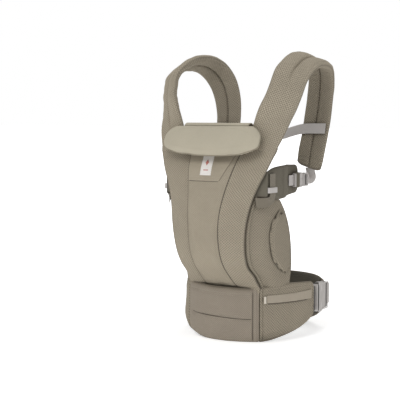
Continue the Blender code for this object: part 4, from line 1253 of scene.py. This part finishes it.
def build_pillow():
    """Head pillow in front of the panel's top, with a piped rim and an oval of stitches."""
    pillow = puff(loft_pillow(), voxel=4.5, pressure=4.0, limit=2.2)
    register(pillow, "pillow", "head_pillow", ("head_pillow_cover", "head_pillow_foam"))
    skin = Skin(pillow)
    angles = np.linspace(0, 2 * math.pi, 140, endpoint=False)
    rim, _ = skin.hug(pillow_oval(angles, 170, 70), 0.25)
    # the rim piping is darker to paint the shadow line along the pillow's lower edge
    tube("pillow_rim_piping", smoothed(np.concatenate([rim, rim[:1]]), 3), 1.4, "pillow_rim_shade",
         sides=10, body="head_pillow")
    backward = np.array((0, 0.84, -0.55))
    starts = [point - backward * 30
              for point in pillow_oval(np.linspace(0, 2 * math.pi, 160), 118, 27)]
    stitch("pillow", *skin.project(starts, backward, 0.1), length=2.6, radius=0.26,
           body="head_pillow")


build_pillow()

# web of fabric that the pillow folds on, from the panel's top over to the pillow: y, z
FOLD = np.array([
    (-151.6, 486.0), (-152.6, 492.0), (-155.0, 497.5), (-158.5, 500.6),
    (-162.5, 502.6), (-167.0, 503.0), (-172.0, 501.6), (-177.5, 497.5)])
FOLD_HALF_WIDTH = 88


def build_fold():
    x = spread(61, -FOLD_HALF_WIDTH, FOLD_HALF_WIDTH, 0.3)
    t = np.linspace(0, 7, 30)
    y, z = (np.interp(t, np.arange(8), FOLD[:, k])[:, None] for k in range(2))
    grid = np.stack(np.broadcast_arrays(
        x[None, :], y + 1.8 * (np.abs(x)[None, :] / FOLD_HALF_WIDTH) ** 2, z), -1)
    fold = Sheet(grid, 0.9, 0.9, Z_AXIS, (17, 30))
    fold.build("pillow_fold_web", "pillow", ("pillow_fold_strip",),
               body=("carrier", "head_pillow", (0, -161, 502.0), (0, -175, 500.0)))


build_fold()

# ------------------------------------------------------------------ thigh wings and their pads
# rear edge: z, x, y
WING = np.array([
    (136, 139, -78), (165, 140, -73), (195, 140, -72), (232, 140, -75), (269, 139, -83),
    (302, 135, -94), (330, 129, -108)], float)
WING_LOW, WING_HIGH = 137.0, 329.0
WING_REAR = 0.985           # along the wing, 0 is by the panel's edge and 1 at WING
PAD_Z = 231
PAD_SEAM_HALF, PAD_HALF = 84, 81        # half heights of the seam round the pad, and the pad


def wing_points(s, z):
    """Right wing's middle surface; negative s is tucked behind the panel's edge."""
    start_x, start_y = edge_x(z) + 4.0, edge_y(z) + 9.0
    rear_x, rear_y = curve(WING, z, 1), curve(WING, z, 2)
    f = np.clip(s, 0, None)
    tucked = np.clip(s, None, 0)
    dip = 7.0 * hill(f, 0.10, 0.13) * (f > 0) * np.clip(f / 0.05, 0, 1)
    x = start_x + (rear_x - start_x) * f**0.8 + 4.8 * np.sin(np.pi * f) - dip + 115 * tucked
    y = start_y + (rear_y - start_y) * f + 28 * tucked
    return np.stack([x, y, z * np.ones_like(s)], -1)


def pad_reach(q):
    """How far the pad's round front edge reaches forwards, at q of its half height."""
    return 0.56 * np.maximum(0.0, 1 - np.abs(q) ** 2.6) ** 0.5


def build_wing(side, tag):
    heights = spread(90, WING_LOW, WING_HIGH, 0.45)
    along = np.concatenate([np.linspace(-0.12, -0.015, 6), spread(61, 0.0, WING_REAR, 0.5)])
    s, z = np.meshgrid(along, heights)
    # the rows fan out, so that the wing is taller by the panel than at the rear
    fanned_z = 122 + (z - WING_LOW) / 192 * (207 + 12 * np.clip(1 - s, 0, 1.1))
    grid = mirror(side, wing_points(s, fanned_z))
    border = (np.minimum(1, np.minimum((z - WING_LOW) / 4, (WING_HIGH - z) / 4).clip(0) + 0.25)
              * np.minimum(1, (WING_REAR - s) / 0.03 + 0.3))
    q = (z - PAD_Z) / PAD_SEAM_HALF
    seam = WING_REAR - (pad_reach(q) + 0.06)
    swell = 1.5 * hill(s, seam * 0.5, 0.28) * hill(z, 225, 70)
    out = 1.4 * border + swell + groove(s, seam - 0.02, 0.012, 1.0) * (np.abs(q) < 1)
    wing = Sheet(grid, out, 1.2, X_AXIS * side, (45, 30), heights, along)
    name = f"thigh_wing_{tag}"
    wing.build(f"{name}_panel", "shaded_mesh", (name,), (0.5, 24, (1, 1, 1), 40.0 + side))
    edge_binding(f"{name}_rear_binding", wing, np.linspace(0, 1, 120), 0.999, 2.0)
    for place, edge_name in ((0.0, "low"), (1.0, "high")):
        edge_binding(f"{name}_{edge_name}_binding", wing, place, np.linspace(0, 1, 60), 1.7)
    q = np.linspace(-0.93, 0.93, 90)
    seam = WING_REAR - (pad_reach(q) + 0.06)
    sew("wing", wing, PAD_Z + PAD_SEAM_HALF * q, seam - 0.035)
    sew("wing", wing, (142, 324), 0.94, 90)


def inflate_right_pad():
    rings = []
    for z in np.linspace(153, 309, 33):
        q = (z - PAD_Z) / PAD_HALF
        s = np.linspace(0.975 - (pad_reach(q) + 0.04), 0.965, 15)
        middle = wing_points(s, np.full_like(s, z))
        ahead = unit(np.gradient(middle, axis=0))
        normal = unit(np.stack([ahead[:, 1], -ahead[:, 0], np.zeros_like(s)], 1))
        normal[normal[:, 0] < 0] *= -1
        fullness = ((1 - np.abs(np.linspace(-1, 1, 15)) ** 2.4) ** 0.6
                    * max(0.0, 1 - abs(q) ** 2.4) ** 0.6)
        rings.append(np.concatenate([middle + normal * (3.4 + 6.6 * fullness)[:, None],
                                     (middle + normal * 3.0)[::-1]]))
    return puff(lofted("thigh_pad_right_cushion", rings), voxel=4.0, pressure=3.5, limit=2.2)


def mirrored_pad(pad):
    mesh = pad.data.copy()
    mesh.flip_normals()
    write_vertices(mesh, mirror(-1, read_vertices(mesh)))
    obj = bpy.data.objects.new("thigh_pad_left_cushion", mesh)
    bpy.context.scene.collection.objects.link(obj)
    return obj


def trim_pad(side, pad, tag):
    """Stitches inside the pad's round front edge, and piping on it."""
    skin = Skin(pad)
    q = np.linspace(-0.80, 0.80, 100)
    s = np.minimum(WING_REAR - pad_reach(q) + 0.055, 0.96)
    line = mirror(side, wing_points(s, PAD_Z + 76 * q) + (9.0, -3.0, 0))
    stitch("wing", *skin.hug(line, 0.1))
    q = np.linspace(-0.80, 0.78, 100)
    s = 0.975 - (pad_reach(q) + 0.04)
    line = mirror(side, wing_points(s, PAD_Z + PAD_HALF * q) + (3.0, -1.5, 0))
    tube(f"thigh_pad_{tag}_piping", smoothed(skin.hug(line)[0], 40), 0.9, "cord")


for side, tag in SIDES:
    build_wing(side, tag)
right_pad = inflate_right_pad()
pads = (right_pad, mirrored_pad(right_pad))
for (_, tag), pad in zip(SIDES, pads):
    register(pad, "pad", replaces=(f"thigh_pad_{tag}",))
for (side, tag), pad in zip(SIDES, pads):
    trim_pad(side, pad, tag)

# ------------------------------------------------------------------ side arms
# y, x, low z, high z
ARM = np.array([
    (-174, 136.5, 340, 394), (-150, 135, 334, 401), (-115, 131, 332, 404),
    (-75, 124, 333, 405), (-58, 116.5, 334, 405), (-46, 111.5, 335, 405),
    (-30, 109.5, 337, 404), (6, 109.5, 341, 403)], float)
ARM_FRONT = ARM[0, 0]       # forward of this the arm runs in behind the panel's edge
ADJUSTER_X = 143.1
# the right adjuster's narrow webbing, down the arm and across to the panel
ADJUSTER_POINTS = [
    (ADJUSTER_X, -160, 391), (ADJUSTER_X, -160, 366), (ADJUSTER_X, -160, 342),
    (ADJUSTER_X - 2.5, -165, 332), (ADJUSTER_X - 12, -178, 327), (ADJUSTER_X - 24, -192, 326)]
ADJUSTER_ACROSS = [(0, 1, 0)] * 3 + [(0.1, 0.85, -0.5), (0.25, 0.45, -0.85),
                                     (0.1, 0.12, -0.97)]
ADJUSTER_FACE = [(1, 0, 0)] * 3 + [(0.98, -0.15, 0), (0.85, -0.5, 0), (0.78, -0.62, 0)]


def build_arm(side, tag):
    y = np.concatenate([np.linspace(-200, -176, 12), spread(100, ARM_FRONT, 6.0, 0.35)])
    s = spread(41, -1, 1, 0.8)
    x, low, high = (curve(ARM, y, c) for c in (1, 2, 3))
    rounding = 9.0 * np.clip((y + 6) / 12, 0, 1) ** 3
    low, high = low + rounding, high - rounding
    z = (low + high)[:, None] / 2 + (high - low)[:, None] / 2 * s[None, :]
    tuck = np.clip((ARM_FRONT - y) / 26, 0, 1)[:, None]
    grid_x = x[:, None] * side * (1 - tuck) + side * (edge_x(z) - 9) * tuck
    grid_y = np.where(tuck > 0, ARM_FRONT + (edge_y(z) + 6 - ARM_FRONT) * tuck, y[:, None])
    thick = np.interp(y, [-200, -174, -162, -154, -34], [1.6, 2.7, 2.9, 3.7, 3.7])[:, None]
    taper = np.minimum(1, np.minimum(y + 200.5, 6.5 - y) / 4)[:, None].clip(0) ** 0.5
    half_thick = thick * (0.25 + 0.75 * crown(s, 6, 0.45)[None, :]) * (0.5 + 0.5 * taper)
    seams = groove(y[:, None], -96.0, 0.9, 1.2) + groove(y[:, None], -92.5, 0.8, 0.5)
    arm = Sheet(np.stack([grid_x, grid_y, z], -1), half_thick + seams, half_thick,
                X_AXIS * side, (60, 20), y, s)
    name = f"side_arm_{tag}"
    arm.build(f"{name}_wrap", "arm", (f"{name}_cover", f"{name}_foam"),
              (0.4, 20, (1, 1, 1), 50.0 + side))
    top_and_bottom_bindings(arm, 80, "piping", (f"{name}_top_binding", 0.998, 1.5),
                            (f"{name}_low_binding", 0.002, 1.5))
    edge_binding(f"{name}_end_binding", arm, 0.995, END_LINE, 1.8, "piping")
    for place in (-98.6, -90.0, 1.5, -4.0):
        sew("arm", arm, place, (-0.92, 0.92), finish="thread_dark")
    for place in (-0.86, 0.86):
        sew("arm", arm, (-172, 3), place, 110, finish="thread_dark")
    strip(f"arm_adjuster_{tag}_strap", mirror(side, ADJUSTER_POINTS),
          mirror(side, ADJUSTER_ACROSS), mirror(side, ADJUSTER_FACE), 24.0, 1.3, "web_khaki",
          (f"arm_adjuster_web_{tag}",))


for side, tag in SIDES:
    build_arm(side, tag)

# ------------------------------------------------------------------ webbing
WEB_WIDTH, WIDE_WEB_WIDTH = 24.6, 49.2
WEB_THICK = 1.8
SIDE_BUCKLE_X, SIDE_BUCKLE_Z = 120.0, 369.0
# waist buckle: its origin, its length direction and its outward direction
WAIST_ORIGIN = np.array((151.2, 51.0, 88.0))
WAIST_ALONG = unit((-0.12, 0.993, 0.0))
WAIST_OUT = unit((0.993, 0.12, 0.0))
CHEST_ORIGIN = np.array((4.0, 50.0, 475.0))
CHEST_ACROSS = unit((0.0, 0.18, 0.984))     # the chest webbing's width direction


def build_arm_end(side, tag):
    z = SIDE_BUCKLE_Z
    points = mirror(side, [(117.6, -46, z), (118.8, -36, z), (SIDE_BUCKLE_X, -23.5, z)])
    strip(f"arm_end_{tag}_tape", points, Z_AXIS, X_AXIS * side, WEB_WIDTH, 1.7, "web",
          (f"arm_end_web_{tag}",), step=1.5)


def build_strap_end(side, tag):
    """Tape from the side buckle's tongue that turns up to the strap's foot."""
    # y, z above the buckle
    path = [(30, 0), (44, 0), (50, 0.5), (55, 3), (57, 8), (54, 15), (49, 26)]
    points = np.array([(SIDE_BUCKLE_X * side, y, SIDE_BUCKLE_Z + rise) for y, rise in path])
    outward = X_AXIS * side
    widths, faces = [], []
    for i in range(len(points)):
        ahead = unit(points[min(i + 1, len(points) - 1)] - points[max(i - 1, 0)])
        # the tape makes its quarter turn before it bends upwards
        twist = math.radians(90) * np.clip((i - 1) / 2.4, 0, 1)
        across = unit(unit(np.cross(ahead, outward)) * math.cos(twist)
                      + outward * math.sin(twist))
        widths.append(across)
        faces.append(unit(np.cross(across, ahead)))
    body = (f"shoulder_tongue_{tag}", "carrier", (SIDE_BUCKLE_X * side, 31, SIDE_BUCKLE_Z),
            points[-1])
    strip(f"strap_end_{tag}_tape", points, widths, faces, WEB_WIDTH, WEB_THICK, "web",
          (f"strap_end_web_{tag}",), body, step=1.0)


def build_chest_tape(side, tag):
    buckle_x, y, z = CHEST_ORIGIN
    start_x = buckle_x - 29.5 if side < 0 else buckle_x + 21.0
    # x outwards, y and z from the buckle
    path = [(46, 0, 0), (70, 0, 6.5), (92, 0.5, 12), (112, 0.5, 14), (146, 0, 14.5),
            (160, 0, 14.5)]
    points = [(start_x, y, z)] + [(side * out, y + dy, z + dz) for out, dy, dz in path]
    tape = strip(f"chest_strap_{tag}_tape", points, CHEST_ACROSS, (0, -1, 0.1), WEB_WIDTH,
                 WEB_THICK, "web", (f"chest_web_{tag}",), "chest_strap")
    for place in (0.985, 0.93):
        sew("chest", tape, place, (-0.85, 0.85), lift=0.02, spacing=3.0, length=2.0,
            radius=0.3, finish="thread_pale", body="chest_strap")


def build_waist_tapes():
    start, end = WAIST_ORIGIN + WAIST_ALONG * -56.0, WAIST_ORIGIN + WAIST_ALONG * -33.5
    strip("waist_short_tape", [start, (start + end) / 2, end], Z_AXIS, WAIST_OUT,
          WIDE_WEB_WIDTH, WEB_THICK, "web_wide", ("waist_web_short",), step=1.5)
    # from the tongue back on to the belt's long wing: belt angle, distance off the belt
    points = [WAIST_ORIGIN + WAIST_ALONG * 27.0, WAIST_ORIGIN + WAIST_ALONG * 52.0]
    faces = [WAIST_OUT, WAIST_OUT]
    body = ("waist_tongue", "carrier", points[0], WAIST_ORIGIN + WAIST_ALONG * 72.0)
    for angle, off in ((38.5, 4.6), (43, 1.7), (49, 1.7), (55, 1.7)):
        point, normal = ellipse(angle, -off)
        points.append(point + Z_AXIS * WAIST_ORIGIN[2])
        faces.append(normal)
    strip("waist_long_tape", points, Z_AXIS, faces, WIDE_WEB_WIDTH, WEB_THICK, "web_wide",
          ("waist_web_long",), body)


def build_waist_keeper():
    """Soft square elastic loop with gathered ribs round the waist webbing."""
    start, end = -54.0, -45.0
    rings = []
    for along in np.linspace(start, end, 19):
        half_height = 30.6 * (0.985 if along in (start, end) else 1)
        rings.append(superellipse(WAIST_ORIGIN + WAIST_ALONG * along, Z_AXIS, WAIST_OUT,
                                  half_height, 4.4 * (1 + 0.02 * math.sin(along * 5.2)),
                                  power=5.0, count=64))
    register(lofted("waist_elastic_loop", rings), "elastic",
             replaces=("waist_elastic_keeper",))


for side, tag in SIDES:
    build_arm_end(side, tag)
for side, tag in SIDES:
    build_strap_end(side, tag)
for side, tag in SIDES[::-1]:
    build_chest_tape(side, tag)
build_waist_tapes()
build_waist_keeper()


# ------------------------------------------------------------------ mouldings on the buckles
def mouldings(name, bars, finish, body, axes, rounding=0.6, buttons=()):
    """Rounded bars and round buttons as one piece, in a buckle's own directions.

    axes are the buckle's origin and its along, across and out directions. bars are
    (from, to) along, across and out; buttons are along, across, radius, from and to out.
    """
    origin, along, across, out = axes
    bm = bmesh.new()
    for u0, u1, v0, v1, w0, w1 in bars:
        made = bmesh.ops.create_cube(bm, size=1.0)["verts"]
        for vertex in made:
            x, y, z = vertex.co
            vertex.co = Vector(((u0 + u1) / 2 + x * (u1 - u0), (v0 + v1) / 2 + y * (v1 - v0),
                                (w0 + w1) / 2 + z * (w1 - w0)))
        edges = {e for vertex in made for e in vertex.link_edges}
        bmesh.ops.bevel(bm, geom=list(edges), offset=min(rounding, (w1 - w0) * 0.42),
                        segments=3, affect="EDGES", profile=0.5)
    for u, v, radius, w0, w1 in buttons:
        middle = (w0 + w1) / 2
        made = bmesh.ops.create_cone(bm, cap_ends=True, segments=36, radius1=radius,
                                     radius2=radius, depth=1.0)["verts"]
        for vertex in made:
            x, y, z = vertex.co
            vertex.co = Vector((u + x, v + y, middle + z * (w1 - w0)))
        edges = {e for vertex in made for e in vertex.link_edges}
        top = [e for e in edges if all(vertex.co.z > middle for vertex in e.verts)]
        bmesh.ops.bevel(bm, geom=top, offset=min(0.7, (w1 - w0) * 0.6), segments=3,
                        affect="EDGES", profile=0.5)
    for vertex in bm.verts:
        x, y, z = vertex.co
        vertex.co = Vector(in_metres(origin + x * along + y * across + z * out))
    bmesh.ops.recalc_face_normals(bm, faces=bm.faces)
    mesh = bpy.data.meshes.new(name)
    bm.to_mesh(mesh)
    bm.free()
    for polygon in mesh.polygons:
        polygon.use_smooth = True
    mesh.set_sharp_from_angle(angle=math.radians(50))
    obj = bpy.data.objects.new(name, mesh)
    bpy.context.scene.collection.objects.link(obj)
    register(obj, finish, body)


def both_faces(bars):
    """Each bar, followed by its copy on the opposite face."""
    return [copy for bar in bars for copy in (bar, (*bar[:4], -bar[5], -bar[4]))]


def dress_buckle(name, axes, half_width, half_thick, socket, tongue, tongue_body):
    """Ribs, slots and buttons; socket and tongue are lengths either side of the origin."""
    socket_body = "chest_strap" if name == "chest" else "carrier"
    wide = name == "waist"
    low, high = half_thick - 0.25, half_thick + 0.85    # a rib's foot and top
    rim = half_width * 0.93
    root = -socket * 0.46
    socket_bars = [(root, -2.2, rim - 3.2, rim - 0.6, low, high),
                   (root, -2.2, -rim + 0.6, -rim + 3.2, low, high),
                   (-3.6, -1.0, -rim + 1.0, rim - 1.0, low, high),
                   (root, root + 2.6, -rim + 1.0, rim - 1.0, low, high)]
    tongue_bars = [(tongue - 4.2, tongue - 1.0, -rim + 1.0, rim - 1.0, low, high),
                   (2.6, 5.4, -rim + 1.0, rim - 1.0, low, high),
                   (3.0, tongue - 2.0, rim - 3.0, rim - 0.6, low, high),
                   (3.0, tongue - 2.0, -rim + 0.6, -rim + 3.0, low, high)]
    if wide:
        socket_bars += [(-socket * k, -socket * k + 1.5, -half_width * 0.4, half_width * 0.4,
                         low, high - 0.2) for k in (0.33, 0.24)]
        slot = (tongue - 9.0, tongue - 5.8)
        buttons = ()
    else:
        slot = (tongue * 0.45, tongue * 0.45 + 4.0)
        buttons = ((-socket * 0.26, 0.0, 4.2, low, high - 0.1),
                   (-socket * 0.26, 0.0, 4.2, -high + 0.1, -low))
    # a dark plate in the ladder slot between the bars paints the shade inside the slot
    slot_shade_plate = (*slot, -rim + 4.0, rim - 4.0, half_thick - 0.3, half_thick + 0.12)
    mouldings(f"{name}_socket_ribs", both_faces(socket_bars), "plastic", socket_body, axes,
              buttons=buttons)
    mouldings(f"{name}_tongue_ribs", both_faces(tongue_bars), "plastic", tongue_body, axes)
    mouldings(f"{name}_tongue_slot_shade", both_faces([slot_shade_plate]), "elastic", tongue_body, axes,
              rounding=0.15)
    if name == "chest":
        return
    # dark cloth wrap over the socket's root
    origin, along, across, out = axes
    rings = [superellipse(origin + along * u, across, out, half_width + 0.7,
                          half_thick + 1.0 + 0.15 * math.sin(u * 3.1), power=5.0, count=56)
             for u in np.linspace(-socket * 0.86, -socket * (0.70 if wide else 0.50), 13)]
    register(lofted(f"{name}_buckle_wrap", rings), "elastic" if wide else "arm")


dress_buckle("waist", (WAIST_ORIGIN, WAIST_ALONG, Z_AXIS, WAIST_OUT), half_width=35.5,
             half_thick=6.5, socket=38.0, tongue=30.0, tongue_body="waist_tongue")
dress_buckle("chest", (CHEST_ORIGIN, X_AXIS, CHEST_ACROSS, np.cross(X_AXIS, CHEST_ACROSS)),
             half_width=17.5, half_thick=5.25, socket=34.0, tongue=24.0,
             tongue_body="chest_tongue")
for side, tag in SIDES:
    origin = np.array((SIDE_BUCKLE_X * side, 8.0, SIDE_BUCKLE_Z))
    dress_buckle(f"shoulder_{tag}", (origin, Y_AXIS, Z_AXIS, X_AXIS * side), half_width=17.5,
                 half_thick=5.25, socket=36.0, tongue=25.0,
                 tongue_body=f"shoulder_tongue_{tag}")

# ------------------------------------------------------------------ pieces that keep their shape
for name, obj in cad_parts.items():
    if "buckle" in name or "slider" in name:
        finish = "plastic"
    else:
        finish = "tape" if name == "pocket_zip_pull" else "web"
    for slot in obj.material_slots:
        slot.material = FINISHES[finish][0]

build_stitches()


# ------------------------------------------------------------------ studio (metres)
def build_world():
    """White for the camera, dimmer as a light."""
    world = bpy.data.worlds.new("studio")
    bpy.context.scene.world = world
    world.use_nodes = True
    tree = world.node_tree
    background = tree.nodes["Background"]
    background.inputs[0].default_value = (1, 1, 1, 1)
    light_path = tree.nodes.new("ShaderNodeLightPath")
    strength = tree.nodes.new("ShaderNodeMapRange")
    strength.inputs["To Min"].default_value = 0.50
    strength.inputs["To Max"].default_value = 1.0
    tree.links.new(light_path.outputs["Is Camera Ray"], strength.inputs["Value"])
    tree.links.new(strength.outputs["Result"], background.inputs[1])


def build_floor():
    """White paper that glows more with distance, for the camera, to meet the background."""
    half = 30
    mesh = bpy.data.meshes.new("floor")
    corners = [(-half, -half, 0), (half, -half, 0), (half, half, 0), (-half, half, 0)]
    mesh.from_pydata(corners, [], [(0, 1, 2, 3)])
    floor = bpy.data.objects.new("floor", mesh)
    floor.location.z = -0.0004
    bpy.context.scene.collection.objects.link(floor)
    s = Surface("floor_paper")
    inputs = s.shader.inputs
    inputs["Base Color"].default_value = (0.97, 0.97, 0.97, 1)
    inputs["Roughness"].default_value = 0.9
    inputs["Specular IOR Level"].default_value = 0.1
    inputs["Emission Color"].default_value = (1, 1, 1, 1)
    inputs["Emission Strength"].default_value = 0.42
    geometry = s.node("ShaderNodeNewGeometry")
    distance = s.vector("LENGTH", geometry.outputs["Position"])
    glow = s.ramp(distance, start=0.5, end=2.2, low=0.44, high=1.0)
    light_path = s.node("ShaderNodeLightPath")
    pick = s.node("ShaderNodeMix")
    pick.inputs[2].default_value = 0.40
    s.put(pick.inputs[0], light_path.outputs["Is Camera Ray"])
    s.put(pick.inputs[3], glow)
    s.put(inputs["Emission Strength"], pick.outputs[0])
    mesh.materials.append(s.material)


def aim(obj, direction):
    obj.rotation_euler = direction.to_track_quat("-Z", "Y").to_euler()
    bpy.context.scene.collection.objects.link(obj)


def area_light(name, location, target_z, size, watts):
    light = bpy.data.lights.new(name, "AREA")
    light.shape = "RECTANGLE"
    light.size, light.size_y = size
    light.energy = watts
    obj = bpy.data.objects.new(name, light)
    obj.location = location
    aim(obj, Vector((0, 0, target_z)) - Vector(location))


def build_camera():
    data = bpy.data.cameras.new("camera")
    data.lens, data.sensor_width = 100.0, 36.0
    data.clip_end = 100
    camera = bpy.data.objects.new("camera", data)
    camera.location = Vector((1.431659, -2.283473, 0.527140)) + Vector(SHIFT * MM)
    aim(camera, Vector((-0.571808, 0.816627, -0.078459)))
    bpy.context.scene.camera = camera


build_world()
build_floor()
area_light("key", (0.62, -2.35, 2.3), target_z=0.3, size=(1.6, 1.3), watts=30)
area_light("fill", (-2.2, -1.2, 1.4), target_z=0.3, size=(1.6, 1.6), watts=1.2)
area_light("back", (0.2, 1.0, 2.9), target_z=0.35, size=(1.6, 1.4), watts=17)
build_camera()
bpy.context.scene.view_settings.view_transform = "Standard"
